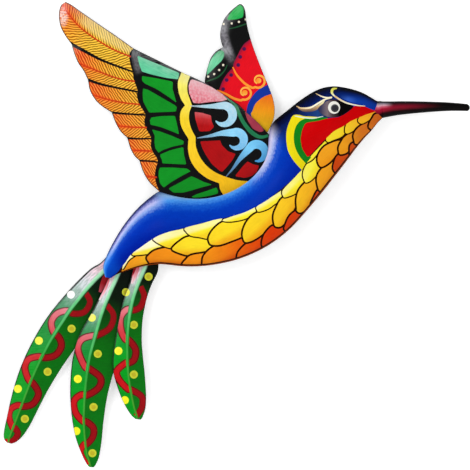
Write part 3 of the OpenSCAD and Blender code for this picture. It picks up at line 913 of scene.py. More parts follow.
gap_widths = [(3.8, 2.6, 1.8), (3.0, 2.2, 1.8), (2.4, 2.0, 1.8), (2.4, 2.0, 1.6), (2.4, 1.9, 1.6)]
feather_ends = [(40, 20), (50, 66), (70, 100), (95, 128), (112, 152), (125, 180)]
SHAFT_W = (0.7, 1.5, 1.6)
RIM_W = (1.8, 1.8)
feather_shafts = [
    [(66, 10), (75, 22), (85, 31.5), (100, 42), (115, 50.5), (131, 57)],
    [(80, 64), (95, 70), (110, 76), (124, 80), (135, 81.5)],
    [(95, 95.5), (110, 100), (125, 103), (140, 104.5)],
    [(114, 125.3), (130, 127), (147, 127.5)],
    [(130, 149.8), (140, 150.5), (152, 151)],
    [(144, 175), (150, 176.5), (157, 177)]]


def drawn(paint, line, widths, steps=4):
    """A stroke as a patch, with its maps along its own line."""
    return Patch(paint, stroke(line, widths), curve(line, steps))


def feather_patches():
    made = []
    for k, shaft in enumerate(feather_shafts):
        upper, lower = curve(feather_gaps[k], 4), curve(feather_gaps[k + 1], 4)
        shape = np.vstack([upper, curve(feather_rims[k], 5)[1:], lower[::-1][1:], [feather_ends[k]]])
        start, way = np.array(shaft[0]), np.subtract(shaft[0], shaft[1])
        lead = start + way / np.hypot(*way) * SHAFT_LEAD
        made.append(Patch(FEATHER, shape, np.vstack([lead, curve(shaft, 4)])))
    made += [Patch(SHAFT, stroke(shaft, SHAFT_W)) for shaft in feather_shafts]
    made += [drawn(FEATHER_EDGE, run, RIM_W) for run in near_tips]
    made.append(Patch(FEATHER_EDGE, stroke(near_lead[:10], RIM_W)))
    made += [Patch(BLACK, stroke(gap, w)) for gap, w in zip(feather_gaps[1:6], gap_widths)]
    return made


print("feather patches:", len(feather_patches()))

# %% [markdown]
# Green panels on the black, a scalloped yellow band, and red panels between pale blue curls fill the rest. A
# panel is a line through its corners with each corner cut off, as a round brush leaves it, and a curl is a
# stroke along a stem and an arc. The first red panel gets a second patch, pale pink at its top and red
# below, as a painted highlight.

# %% Lines of the near wing's panels
green_panels = [
    [(142.2, 76.2), (155.5, 78.3), (172.9, 81.8), (172.6, 89), (174.9, 97.1), (176.4, 102.6), (168.8, 97.1),
     (156.5, 89), (145.3, 83.9), (142.2, 80.8)],
    [(143.3, 88.6), (148.4, 90), (160.6, 97.1), (174.9, 105.3), (176.9, 107.3), (175.9, 111.6),
     (160.6, 112.2), (149.4, 112.7), (146.3, 107.3), (143.3, 101.2), (142.8, 94.1)],
    [(151.4, 117.6), (160.6, 116.2), (174.9, 115.8), (176.4, 121.6), (178, 128.8), (179, 134.2),
     (170.8, 130.8), (160.6, 126.9), (150.6, 124.7), (150, 120.6)],
    [(152, 129.4), (160.6, 131.6), (172.9, 136.2), (183.8, 141), (183.3, 144.3), (172.9, 146.4),
     (162.7, 150), (158.6, 152.6), (155.5, 148.2), (154.5, 142), (155, 135.9)],
    [(160.4, 154.3), (170.8, 150), (183.3, 146.9), (184.1, 155.3), (186.4, 164.3), (173.9, 163.7),
     (162.5, 163.2), (162, 159.4), (160.4, 156.6)],
    [(160.2, 167.3), (173.9, 167.4), (187.1, 168.4), (190.6, 171.1), (181, 176), (170.8, 182.1),
     (163.7, 187.3), (160.1, 182.9), (158.6, 175.7), (158.9, 170.6)],
    [(168.4, 188.2), (179, 182.7), (191.2, 176), (195.3, 177.6), (203.5, 181.6), (212, 184.4),
     (201.4, 187.1), (191.2, 190.2), (183.1, 192.3), (173.5, 192.3)],
    [(191.6, 196.3), (196.3, 194), (207.6, 190.3), (216.4, 187.1), (218, 191), (217.4, 193.3),
     (209.6, 195.4), (201.4, 196.9), (193.3, 197.4)]]
mint_panel = [
    (137.4, 55.8), (150.4, 61.2), (165.7, 67.4), (179.2, 73), (178.2, 79.5), (165.7, 78), (152.4, 74.9),
    (142, 71.8), (139.4, 64.5)]
band_outer = [
    [(181.5, 68), (181, 73.5), (178, 82), (178.5, 91), (181, 99), (185, 105.5)],
    [(185, 105.5), (181, 111), (180, 119), (182, 128), (188.5, 139)],
    [(188.5, 139), (188, 149), (190.5, 160), (197, 170), (207, 178), (219, 183)],
    [(219, 183), (220, 189), (224, 196), (227, 202)]]
band_inner = [
    [(192, 70), (190, 76.5), (187.5, 84), (187.5, 92), (190, 100), (192, 105.5)],
    [(192, 105.5), (189.5, 112), (189, 119), (191, 128), (195.5, 137)],
    [(195.5, 137), (196, 147), (200, 157), (207, 166), (216, 172.5), (227, 177), (238, 180), (249, 181)],
    [(249, 181), (256, 181), (256, 190)]]
pink_panel = [
    (190.2, 80.8), (192.2, 79.4), (201.4, 82.5), (211.6, 87.1), (221.8, 93.7), (227.4, 99.4), (221.8, 101.3),
    (211.6, 101.9), (199.4, 103.5), (193.3, 103), (189, 93.1), (188.6, 85.9)]
red_panels = [
    [(194.6, 112), (201.4, 112.8), (210.8, 115.4), (211.6, 121.6), (213.9, 126.7), (209.8, 131),
     (201.4, 131.5), (199.2, 131), (197.3, 125.7), (195.3, 118.6)],
    [(200.2, 141.3), (209.6, 140.9), (220, 140.3), (221.8, 145.1), (228, 151.2), (235.5, 153.8),
     (232, 160.4), (226.9, 166.5), (222.3, 171.5), (219.8, 170.8), (211.6, 163.7), (205.5, 154.5),
     (201.9, 147.1)],
    [(234.7, 176), (242.2, 166.5), (247.3, 161.2), (252.4, 164), (258.8, 165.4), (256.5, 171.6),
     (251.4, 175.9), (244.3, 177.6)]]
teal_line = [
    (225, 96), (232, 102), (236, 107), (239, 114), (243, 122), (249, 130), (256, 135.5), (262, 137),
    (268, 135.5)]
lens = [
    (244.3, 111.4), (248.4, 110.4), (255.5, 117.6), (261.6, 126.7), (263.7, 130.8), (259.6, 132.3),
    (252.4, 128.8), (247.3, 120.6)]
# Along this line the black near the wing's top carries a painted highlight.
near_shine = [(137.5, 51.5), (136, 57), (137.5, 66), (140, 76)]
HOOK_W = (0.8, 1.8, 3.0, 4.2, 6.2, 8.0, 8.8, 8.4, 6.8, 4.6, 1.0)
CORNER_CUT = 0.1
near_curls = [(PALE_SKY, [(190, 106), (200, 106.4), (210, 106.4)], (223, 115), 9.5, -105, 142),
              (SKY, [(197, 138), (210, 135.8), (221, 133.3)], (235.6, 140), 8.0, -112, 142),
              (DEEP_SKY, [(226, 176.3), (233, 168), (240, 158.3)], (256.3, 152.6), 8.4, -150, 102)]
print("panels:", len(green_panels), "green and", len(red_panels), "red")

# %% The near wing's panels
def curl(paint, stem, centre, radius, start, end, widths, count=10, shrink=1.0):
    """A patch like a curl: a stem that runs into a hook round a centre."""
    line = np.vstack([stem, arc(centre, radius, start, end, count, shrink)])
    return drawn(paint, line, widths, 3)


def panel_patches():
    outer, inner = runs(*band_outer), runs(*band_inner)
    made = [drawn(NEAR_BLACK_HIGHLIGHT, near_shine, (9, 9))]
    made += [Patch(LEAF, block(corners, 1, CORNER_CUT)) for corners in green_panels]
    made += [Patch(PANEL, block(corners, 1, CORNER_CUT)) for corners in red_panels]
    made += [Patch(RED_PANEL_HIGHLIGHT, block(red_panels[0], 1, CORNER_CUT), [(204, 110), (202, 132)]),
             Patch(MINT, block(mint_panel, 2, CORNER_CUT)),
             Patch(PINK, block(pink_panel, 2, CORNER_CUT), [(206, 80), (202, 104)]),
             Patch(BAND, np.vstack([outer, inner[::-1]]), outer),
             Patch(TEAL, stroke(teal_line, (2.0, 3.4, 3.8, 4.2, 2.5))),
             Patch(LENS, block(lens))]
    return made + [curl(*one, HOOK_W) for one in near_curls]


print("panel patches:", len(panel_patches()))

# %% [markdown]
# The sheet reaches under the body's rim, where it is welded. Its edge is black, and its back is sprayed
# satin black. The weld holes are cut with the outline, because a Boolean cut would spoil the triangles round
# them.

# %% The near wing's sheet
BACK = plain("back_black", "38383c", streak=0.5, rough=0.42, coat=0.15, shine=0.5, bloom=0.0)
ROOT_W = 7 * MM
CORNER = 1 + STATIONS * len(back_front)


def rim_inward(t, rim=back_rail, far=belly_rail):
    """The direction from a rim into the body, along the wall."""
    side = beside(at_station(t + 1, rim) - at_station(t - 1, rim))
    across = at_station(t, far) - at_station(t, rim)
    return side * np.sign((side * across).sum(1))[:, None]


root_stations = CORNER - STATIONS * np.arange(1.0, 11.0)
near_root = on_paper(at_station(root_stations, back_rail) + rim_inward(root_stations) * ROOT_W)
near_outline = np.vstack([curve(near_lead, 4), curve([(158.5, 190.5), *near_root], 4)[::-1],
                          runs(*near_tips, steps=5)[::-1][1:-1]])
WELD_R = 2 * MM
near_weld_t = CORNER - STATIONS * np.array([2.0, 4.0, 6.0, 9.0])
near_welds = at_station(near_weld_t, back_rail) + rim_inward(near_weld_t) * WELD_R


def weld_holes(spots):
    return [on_paper(spot + WELD_R * dot((0, 0), 1)) for spot in spots]


sheet_piece("near_wing_painted", "near_wing", near_outline, standing(near_depth),
            feather_patches() + panel_patches(), (BLACK, BLACK, BACK), step=2.6, place=paper_place,
            holes=weld_holes(near_welds))

# %% [markdown]
# ## The far wing
# The smaller wing behind shows two green lobes with dotted black bands, red fields that darken to purple at
# their rims, two orange volutes, a blue arc and a lens that runs from orange to yellow. The purple rim is a
# gradient: the red fields' brush map measures from their left edge, so the shader knows how near it is. The
# black beside the lobes has a pale painted highlight, as on the near wing.

# %% The far wing's paints
def far_red(start, brush, fade, place):
    return (abs(brush[1]) * 0.2).ramp((0.0, "8c0a3c"), (0.25, "b40a2c"), (0.6, "d8041c"), (1.0, "e6041a"))


FAR_RED = enamel("field_red", far_red, streak=0.2)
FAR_BLACK_HIGHLIGHT = enamel("far_black_painted_highlight", black_with_highlight(0.55), streak=0.3)
PLUM = plain("dot_plum", "4c0c4c")
FAR_GREEN = plain("lobe_green", "18b24e", streak=0.35, bloom=0.12)
FAR_MINT = ramped("lobe_mint", (0.0, "3aa870"), (0.5, "6fd4a0"), (1.0, "2a9a5c"), streak=0.35, bloom=0.3)
ARC_GREEN = plain("arc_green", "17502c")
CREAM_DOT = plain("dot_cream", "efe6cc")
VOLUTE = ramped("volute_orange", (0.0, "ff8a1c"), (0.6, "ffa83a"), (1.0, "ffc04e"))
FAR_BLUE = plain("arc_blue", "0c36a8")
FAR_LENS = ramped("lens_amber", (0.0, "f26c16"), (0.45, "f89a12"), (1.0, "fcc418"))
print("far wing paints:", FAR_RED.name, FAR_GREEN.name, VOLUTE.name, FAR_BLUE.name, FAR_LENS.name)

# %% [markdown]
# Some patches run past the sheet's edge, and only what lies inside the outline is kept, so they need no edge
# of their own there. The sheet rolls back along its left edge, and steps up behind the near wing to be
# welded.

# %% The far wing's outline
far_left = [
    [(239, 4), (235, 7), (229, 12.5), (224, 19), (221, 27), (220, 35), (221, 42), (222.7, 47)],
    [(222.7, 47), (216, 51), (211, 57), (208, 65), (206, 73), (204.5, 82), (206.5, 93), (210, 105),
     (214, 116), (218, 127), (225, 138)]]
far_right = [
    (241, 4), (243.5, 6.5), (245.2, 12), (246, 20), (247.5, 28), (249.5, 36), (251.8, 43.5), (254, 50),
    (257, 58), (260.5, 67), (264.5, 77), (269, 88), (272.3, 97), (274.3, 107), (273.8, 117), (271, 125),
    (266, 134), (256, 145)]
far_edge = on_wall(runs(*far_left, steps=4))
lead_wall = on_wall(near_lead)
STEP_START = BEND_W * 0.4
ROLL_END = 4 * MM


def far_depth(squares):
    wall = on_wall(squares)
    under = wall[:, 1] < np.interp(wall[:, 0], lead_wall[:, 0], lead_wall[:, 1])
    behind = np.where(under, np.abs(nearest(wall, near_front)[1]), 0)
    bent = BEND * rolled(wall, far_edge) * (1 - ease(behind / ROLL_END))
    return RIM - SHEET - FAR_GAP - bent + FAR_GAP * ease((behind - STEP_START) / STEP_L)


print("far wing depth at its tip:", np.round(far_depth(np.array([[240.0, 5.0]])) / MM, 2), "mm")

# %% The far wing's marks
field_edge = [
    [(252, 36), (249, 40), (244, 44), (240, 50), (237, 56), (234, 62), (232.5, 68)],
    [(232.5, 68), (228, 72.5), (224, 78), (221, 84), (219, 89.5)]]
field_rest = [(219, 92), (226, 96), (238, 104), (246, 112), (252, 118), (285, 110), (275, 60), (258, 36)]
volutes = [
    ([(232.5, 67), (236, 74), (241, 80), (246, 84.5), (252, 87.7)], (258.3, 80.6), 7.4, 118, -245),
    ([(217, 90), (226, 94), (233, 98), (240, 100.2)], (244.6, 92.6), 7.3, 108, -250)]
blue_outer = [(271, 82.6), (266.7, 84.9), (257.6, 90), (251.4, 97.1), (247.3, 105.3), (246, 114)]
blue_inner = [(253.6, 120), (254, 111), (256.8, 104), (263.4, 98.2), (277, 93.8)]
amber_lens = [
    (277, 92), (271.6, 93.7), (262.7, 97.1), (255.5, 103.3), (252.4, 110.4), (251.6, 117), (266, 136),
    (282, 126), (282, 96)]
# Along this line the black beside the lobes carries a painted highlight.
far_shine = [(225, 14), (223, 24), (223.5, 34), (226.5, 46), (230.5, 57), (232, 68)]
upper_lobe = [(226.5, 20), (229.8, 13.5), (235, 8), (240, 4.6), (243.4, 8), (243, 17.6), (236, 19.5)]
lower_lobe = [
    (206.6, 74), (208.2, 65.5), (212, 57.8), (217, 52), (222, 50.4), (224, 54), (222, 60), (216, 66),
    (209, 73)]
upper_arc = [(229, 29), (237, 27), (246, 24)]
lower_arc = [(206, 81.5), (217, 77.5), (224, 71), (227, 65)]
plum_dots = [(244, 49), (240, 57), (238, 65), (231, 75), (226.5, 80), (223, 89)]
cream_dots = [
    (223.5, 24), (231.5, 23.5), (238.7, 22), (245.5, 19.5), (208, 76.5), (214, 74), (219, 70), (223, 65)]
VOLUTE_W = (1.2, 2.2, 2.3, 2.2, 2.0, 1.2)
VOLUTE_TURN = 16
VOLUTE_SHRINK = 0.42


def far_patches():
    edge = runs(*field_edge)
    made = [drawn(FAR_BLACK_HIGHLIGHT, far_shine, (13, 13)), Patch(FAR_RED, np.vstack([edge, field_rest]), edge)]
    made += [Patch(PLUM, dot(p, 1.9)) for p in plum_dots]
    made += [Patch(FAR_GREEN, block(upper_lobe)), Patch(FAR_MINT, blob(lower_lobe)),
             Patch(ARC_GREEN, stroke(upper_arc, (0.8, 1.6, 1.2))),
             Patch(ARC_GREEN, stroke(lower_arc, (1.0, 1.8, 1.0)))]
    made += [Patch(CREAM_DOT, dot(p, 1.1)) for p in cream_dots]
    made += [Patch(FAR_BLUE, np.vstack([curve(blue_outer, 5), curve(blue_inner, 5)])),
             Patch(FAR_LENS, curve(amber_lens, 4), [(270, 95), (265, 128)])]
    for one in volutes:
        made.append(curl(VOLUTE, *one, VOLUTE_W, VOLUTE_TURN, VOLUTE_SHRINK))
        made.append(Patch(VOLUTE, dot(one[1], 2.7)))
    return made


print("far wing patches:", len(far_patches()))

# %% The far wing's sheet
CROWN_W = 0.6 * MM
FAR_WELD_IN = STEP_START + STEP_L + WELD_R + CROWN_W + SHEET


def far_weld(k):
    """A weld behind the near wing's front edge, at the middle of one of its spans."""
    a, b = lead_wall[k], lead_wall[k + 1]
    way = (b - a) / np.hypot(*(b - a))
    return (a + b) / 2 + np.array([way[1], -way[0]]) * FAR_WELD_IN


far_welds = np.array([far_weld(25), far_weld(27)])
far_outline = np.vstack([runs(*far_left, steps=5), curve(far_right, 5)[::-1]])
sheet_piece("far_wing_painted", "far_wing", far_outline, standing(far_depth), far_patches(),
            (BLACK, BLACK, BACK), step=2.2, place=paper_place, holes=weld_holes(far_welds))

# %% [markdown]
# ## The tail
# Each of the three tail feathers is a blade with a crease down its middle and a flat root tab that is welded
# to the strap. A red ribbon winds across the crease, with yellow dots in its bends and a pale line on the
# crease, a painted highlight that is wider and softer towards the root. Near the root the left halves carry
# a pale painted highlight and the right ones are darkest, a painted shade, so the colours are ramps along
# and across the blade, not one green.

# %% The tail's paints
HALVES = (0.46, 0.54)


def tail_colour(start, brush, fade, place):
    along, across = place
    green = along.ramp((0.2, "2c7e58"), (0.45, "148638"), (0.68, "069a20"), (1.0, "08941e"))
    # Painted highlight: near the root the left halves turn pale pink and white, mottled.
    spots = start.noise(along * 40, across * 16, 1.0).rise(0.3, 0.7)
    pale = along.ramp((0.13, "ee8ea6"), (0.19, "f8ccda"), (0.27, "f4f0fa"), (0.42, "84b8a8"))
    left = (along.rise(0.5, 0.2) * (spots * 0.45 + 0.55)).mix(green, pale)
    # Painted shade: the right halves are nearly black near the root and turn green further out.
    right = along.ramp((0.14, "010802"), (0.26, "021604"), (0.37, "044a08"), (0.48, "05680c"),
                       (1.0, "067614"))
    both = across.rise(*HALVES).mix(left, right)
    edge = across.rise(0.04, 0.02) + across.rise(0.1, 0.06) * along.rise(0.5, 0.25)
    return edge.mix(both, "06140a")


def ribbon_colour(start, brush, fade, place):
    along, across = place
    # Painted highlight near the root, pale pink; on the right halves a deeper red as painted shade.
    lit = along.ramp((0.26, "f0b4bc"), (0.4, "e4808a"), (0.52, "d03c44"), (0.68, "c4141a"))
    core = across.rise(*HALVES).mix(lit, "980810")
    return (abs(brush[1]) * 0.5).rise(0.7, 1.15).mix(core, "4c0a0a")


def ridge_colour(start, brush, fade, place):
    # The pale line on the crease is a painted highlight, whitest and widest at the root.
    line = fade[0].ramp((0.0, "bcf6d0"), (0.25, "70dc8c"), (0.55, "42b44c"), (1.0, "6ca436"))
    near = (abs(brush[1]) * (fade[0] * 2 + 1)).rise(2.3, 0.6) * (1 - fade[0] * 0.55)
    return near.mix(tail_colour(start, brush, fade, place), line)


def dot_colour(left, right):
    """Dots are paler on the left halves, a painted highlight,
    and deeper on the right, a painted shade.
    """
    def colour_of(start, brush, fade, place):
        return place[1].rise(*HALVES).mix(left, right)
    return colour_of


BLADE_FILM = {"streak": 0.25, "shine": 0.02, "bloom": 0.1}
TAIL = enamel("tail_green", tail_colour, **BLADE_FILM)
RIBBON = enamel("ribbon_red", ribbon_colour, **BLADE_FILM)
RIDGE = enamel("crease_painted_highlight", ridge_colour, **BLADE_FILM)
DOT = enamel("dot_lemon", dot_colour("f4f62c", "ccd030"), streak=0.15)
DOT_CORE = enamel("dot_core_olive", dot_colour("f6f02a", "c2b626"), streak=0.25)
# The dot in the painted highlight at the left root is nearly white.
DOT_PALE = ramped("dot_pale", (0.0, "fafaf2"), (1.0, "ffffff"), streak=0.15)
ROOT_RED = ramped("root_red", (0.0, "840814"), (0.6, "9c0e1c"), (1.0, "c84858"), streak=0.4, bloom=0.0)
ROOT_PINK = ramped("root_pink", (0.0, "d0485a"), (0.6, "eca0ac"), (1.0, "f4dce0"), streak=0.4, bloom=0.0)
print("tail paints:", TAIL.name, RIBBON.name, RIDGE.name, DOT.name, DOT_CORE.name)

# %% [markdown]
# A blade is given by its left edge, its crease and its right edge. The share of the way from the crease to
# an edge gives the fold, so the crease follows a curved line. The tabs lie on one another under the strap,
# and each blade drops back to a layer of its own as it leaves them.

# %% Lines of the tail's blades
CREASE = 3.6 * MM
FAN = 2.8 * MM
TAB_W = 14 * MM
TAB_L = 12 * MM
TAB_END = TAB_W * 0.64
TAB_R = max(TAB_W / 2, math.hypot(TAB_L, TAB_END) / 2)
STRAP = np.array([CORNER + 3.0 * STATIONS])
strap_top, strap_low = at_station(STRAP, back_rail)[0], at_station(STRAP, belly_rail)[0]
strap_middle = (strap_top + strap_low) / 2
strap_way = (strap_top - strap_low) / np.hypot(*(strap_top - strap_low))
tail_welds = np.array([strap_middle + strap_way * TAB_W / 4, strap_middle - strap_way * TAB_W / 4])
SOFT_CREASE = 0.06
TIP_FLATTER = 0.6
DROP_OVER = 8 * MM
FOLD_FROM = 1 * MM
FOLD_OVER = 12 * MM
RIGHT_OUT = np.array([0.7, 0.3])

left_blade = [
    [(107, 255.5), (100, 262.5), (91, 267.8), (80, 278), (70, 288.5), (60, 300), (50, 312.5), (40, 327.5),
     (30, 345.5), (22, 363), (15.5, 381.5), (10.5, 400), (6.8, 417), (4, 431), (4.2, 438), (7, 441.7)],
    [(111, 262), (104, 270), (96, 278), (86, 289), (77, 300.5), (69, 311), (60.5, 324), (51, 339), (42, 356),
     (34.5, 372), (28.5, 386.5), (22.5, 402.5), (16.5, 418.5), (11.5, 431.5), (9, 438.5), (8.8, 442)],
    [(117, 267.5), (110.5, 278), (103, 290), (94.5, 307), (87.5, 322.5), (81, 336), (74.5, 347), (65, 360.5),
     (55, 376), (46.5, 390.5), (39.5, 404), (34, 415), (28.5, 425.5), (22, 435), (15.5, 440.7), (11, 442.5)]]
middle_blade = [
    [(113, 264), (108, 279), (100, 296), (93, 310), (86, 322), (80, 333), (75.2, 347), (72, 362),
     (70.5, 380), (70.5, 400), (72.5, 420), (76, 437), (81, 451), (86, 461.5), (89.3, 465.8)],
    [(121, 265), (116.5, 277), (109.5, 293), (103, 309), (98, 325.5), (94, 340), (90.5, 352.5), (88, 366),
     (86, 382), (84.5, 401), (84, 420), (85, 437), (87, 452), (90, 462), (90.8, 466.3)],
    [(133, 264), (133, 281), (128, 299), (124, 317), (121, 335), (118, 351), (115, 364), (111, 377.5),
     (107.5, 391), (104.8, 406), (102.6, 423), (101, 440), (98.5, 455), (95, 463.5), (92.5, 466)]]
right_blade = [
    [(135, 261), (132.8, 271), (129.2, 284), (123.5, 300), (119, 320), (115.5, 340), (113, 358),
     (113.5, 371), (116, 381), (120, 393), (125, 404), (131, 413.5), (135.5, 417.8)],
    [(147, 260), (143.5, 270), (138, 283), (132.8, 299), (129, 320), (127.5, 340), (127.6, 358),
     (128.3, 371), (129.5, 381), (131.5, 393), (134, 405), (136.5, 413.5), (137.8, 418.4)],
    [(158, 259), (157, 271), (151, 283.5), (146, 298), (142, 319), (141.2, 340), (142.5, 357), (144, 371),
     (145, 384), (145.5, 396), (144.8, 407), (142, 415.5), (140, 418.2)]]
print("strap's middle on the paper:", np.round(on_paper(strap_middle), 1))

# %% The tail's blades
def blade_lines(blade):
    """A blade's left edge, crease and right edge on the paper, with the root tab before them."""
    way = on_wall(blade[1][0]) - strap_middle
    way = way / np.hypot(*way)
    side = np.array([way[1], -way[0]])
    made = []
    for line, s, out in zip(blade, (1, 0, -1), (0, 0, RIGHT_OUT)):
        widths = ((-1, TAB_END), (0, TAB_W), (1, TAB_END))
        tab = [strap_middle + way * TAB_L / 2 * k + side * w / 2 * s for k, w in widths]
        made.append(np.vstack([on_paper(np.array(tab)), curve(np.add(line, out), 5)]))
    return made


def blade_maps(lines):
    """How far along and how far across a blade points lie: 0 to 1, and -1 to 1."""
    whole = lengths(lines[1])[-1]
    rim = np.vstack([lines[0], lines[2][::-1]])

    def maps(squares):
        along, off = nearest(squares, lines[1])
        edge = np.abs(nearest(squares, rim)[1])
        share = np.abs(off) / np.maximum(np.abs(off) + edge, TINY)
        return along / whole, share * np.sign(off)
    return maps


def blade_depth(maps, layer):
    """The front of a blade. layer 0 is next to the strap, and each further one lies behind it."""
    def depth_of(squares):
        along, across = maps(squares)
        wall = on_wall(squares)
        clear = np.maximum(0, np.hypot(*(wall - strap_middle).T) - TAB_R - SHEET)
        fold = np.sqrt(across ** 2 + SOFT_CREASE ** 2) - SOFT_CREASE
        drop = (FAN - SHEET) * layer * np.clip(clear / DROP_OVER, 0, 1)
        crease = CREASE * (1 - TIP_FLATTER * along) * fold * ease((clear - FOLD_FROM) / FOLD_OVER)
        return RIM - SHEET * (1 + layer) - drop - crease
    return depth_of


crease_l = lengths(on_wall(blade_lines(left_blade)[1]))[-1]
print("the left crease is", round(crease_l / MM), "mm long")

# %% [markdown]
# The ribbon is one stroke through all its bends, and each dot is a lemon round with a deeper one on it. One
# dot lies across two feathers, so both carry it, and the dot in the painted highlight at the left root is
# nearly white. Short strips of red and pink show at the roots.

# %% The tail's ribbons and dots
left_ribbon = [
    (85.7, 292), (90, 301.4), (84.3, 311.4), (73, 313), (67, 310), (57, 313), (51.4, 321.4), (53.6, 331.4),
    (59.3, 337), (61.4, 345.7), (55.7, 354.3), (45.7, 357), (38.6, 355.7), (28.6, 358.6), (25, 367),
    (28.6, 378.6), (33.6, 383), (38.6, 393), (33, 403), (23.6, 405.7), (18, 404.3), (10.7, 408.6),
    (9.3, 417), (13, 427), (15, 427), (18, 433), (13, 440), (5, 441)]
middle_ribbon = [
    (107, 304.3), (113.6, 314.3), (110, 327), (98, 334.3), (92, 335), (82, 338.6), (78, 348.6), (85, 365.7),
    (90, 368), (100.7, 377), (98.6, 387), (87, 394.3), (81.4, 393.6), (74.3, 400), (75.7, 411.4), (83, 420),
    (87, 420.7), (93.6, 427), (93, 435.7), (87, 443), (84.3, 443), (80.7, 450), (83.5, 458), (88, 464)]
right_ribbon = [
    (140.7, 285.7), (144.3, 295.7), (140.7, 305.7), (134.3, 309.3), (127, 308.6), (120.7, 317), (121.4, 330),
    (125.7, 338.6), (129.3, 339.3), (135.7, 348.6), (134.3, 358.6), (128.6, 362), (125.7, 362), (117, 370),
    (119.3, 378.6), (128, 388), (131.4, 388.6), (142, 395.7), (142, 406), (136.4, 415)]
SHINE_DOT = (71, 294)
SHARED_DOT = (126, 291.5)
left_dots = [SHINE_DOT, (39, 340), (18, 388), (71.6, 328), (47.7, 371), (25, 418)]
middle_dots = [(92, 317), (78, 378), (76.5, 430), SHARED_DOT, (98, 353), (93.7, 406), (92.6, 452)]
right_dots = [(148.7, 276), SHARED_DOT, (134, 324), (118.6, 350), (134, 373.5), (125, 399)]
DOT_R = 4.0
DOT_CORE_R = 2.3
RIBBON_W = (5.6, 7.6, 7.6, 7.6, 7.4, 6.4)
RIDGE_W = (7.0, 5.2, 3.6, 2.6, 2.0)


def blade_patches(crease, ribbon, dots, strips):
    made = [drawn(*strip) for strip in strips]
    made.append(drawn(RIBBON, ribbon, RIBBON_W))
    made += [Patch(DOT_PALE if p == SHINE_DOT else DOT, dot(p, DOT_R)) for p in dots]
    made += [Patch(DOT_CORE, dot(p, DOT_CORE_R)) for p in dots if p != SHINE_DOT]
    made.append(Patch(RIDGE, stroke(crease[:-1], RIDGE_W, 1), crease))
    return made


def tail_feather(side, layer, blade, ribbon, dots, strips):
    """Builds one tail feather; layer counts from the strap towards the wall."""
    lines = blade_lines(blade)
    maps = blade_maps(lines)

    def blade_place(squares):
        along, across = maps(squares)
        return np.stack([along, 0.5 - 0.5 * across], 1)
    outline = np.vstack([lines[0], lines[2][::-1]])
    patches = blade_patches(lines[1][3:], ribbon, dots, strips)
    lift = standing(blade_depth(maps, layer))
    sheet_piece(f"tail_{side}_painted", f"tail_{side}", outline, lift, patches,
                (TAIL, BLACK, BACK), step=2.4, place=blade_place, holes=weld_holes(tail_welds))


left_strips = [(ROOT_RED, [(108, 270), (105.4, 277), (102.8, 284), (99.8, 291.5)], (5, 6, 5.4, 2.5))]
middle_strips = [(ROOT_PINK, [(108, 278), (105.5, 285), (102.5, 292), (99, 299)], (4, 5, 4.5, 2.5))]
right_strips = [(ROOT_PINK, [(138.5, 264), (136.5, 270.5), (134.2, 277), (131.8, 283)], (3.5, 4.5, 4, 2)),
                (ROOT_RED, [(135, 264), (133.8, 268), (132.4, 272), (131, 276)], (5, 4.6, 4, 2))]
tail_feather("left", 2, left_blade, left_ribbon, left_dots, left_strips)
tail_feather("middle", 1, middle_blade, middle_ribbon, middle_dots, middle_strips)
tail_feather("right", 0, right_blade, right_ribbon, right_dots, right_strips)

# %% [markdown]
# ## The body
# The pressed shell is blue above and scaled below. The blue is darkest on the crown and paler near the rim
# along the back, where pale bands are painted highlights. It changes along the body as well as round it, so
# it is five ramps round the section, and each fades into the next.

# %% The body's paints
EVEN = {"shine": 0.0, "bloom": 0.0}
SOFT = {"streak": 0.15, **EVEN}


def blue_colour(start, brush, fade, place):
    along, turn = place
    edge = turn + (start.noise(along * 330, turn * 70, 0.5) - 0.5) * 0.09
    # The pale lavender and sky-blue bands near the rim are painted highlights.
    head = edge.ramp((0.0, "010208"), (0.12, "020614"), (0.2, "041040"), (0.28, "08246c"), (0.4, "062c90"),
                     (1.0, "0436ac"))
    chest = edge.ramp((0.0, "3c3c5c"), (0.06, "a8a4d0"), (0.13, "d4d0ee"), (0.2, "a0b0e4"), (0.26, "2456c4"),
                      (0.34, "0238b2"), (0.55, "01209a"))
    root = edge.ramp((0.0, "4c68a8"), (0.07, "90bcee"), (0.16, "4a98ee"), (0.24, "145ac8"), (0.32, "0238b2"),
                     (0.55, "01229c"))
    back = edge.ramp((0.0, "10142c"), (0.06, "2c3468"), (0.1, "7074b8"), (0.145, "b8bae8"), (0.22, "7c9cdc"),
                     (0.28, "144cba"), (0.35, "0234b0"), (0.55, "011e98"))
    rump = edge.ramp((0.0, "16307c"), (0.1, "5a9cea"), (0.22, "2478e0"), (0.38, "0646bc"), (1.0, "0130a6"))
    colour = along.rise(0.285, 0.335).mix(head, chest)
    for low, high, tone in ((0.4, 0.48, root), (0.69, 0.75, back), (0.88, 0.95, rump)):
        colour = along.rise(low, high).mix(colour, tone)
    return colour


def rose(up):
    """The beak's colours at its root, from its underside to its top.
    The pale pink and grey near the top are a painted highlight.
    """
    return up.ramp((0.12, "060304"), (0.28, "2a060e"), (0.4, "8c1028"), (0.54, "ac1636"), (0.66, "d05c74"),
                   (0.74, "dca8b6"), (0.84, "8c8490"), (0.93, "0c080a"))


def socket_colour(start, brush, fade, place):
    """The socket is painted with the beak, so its colours go round it in the same way."""
    return rose(start.math("COSINE", place[1] * math.pi) * 0.5 + 0.5)


def body_edge_colour(start, brush, fade, place):
    """The cut edge: blue along the back, brown along the belly, and the beak's colours at the socket."""
    rails = place[1].rise(0.45, 0.55).mix("0a1c5c", "6a2c0e")
    return place[0].rise(0.004, 0.008).mix(socket_colour(start, brush, fade, place), rails)


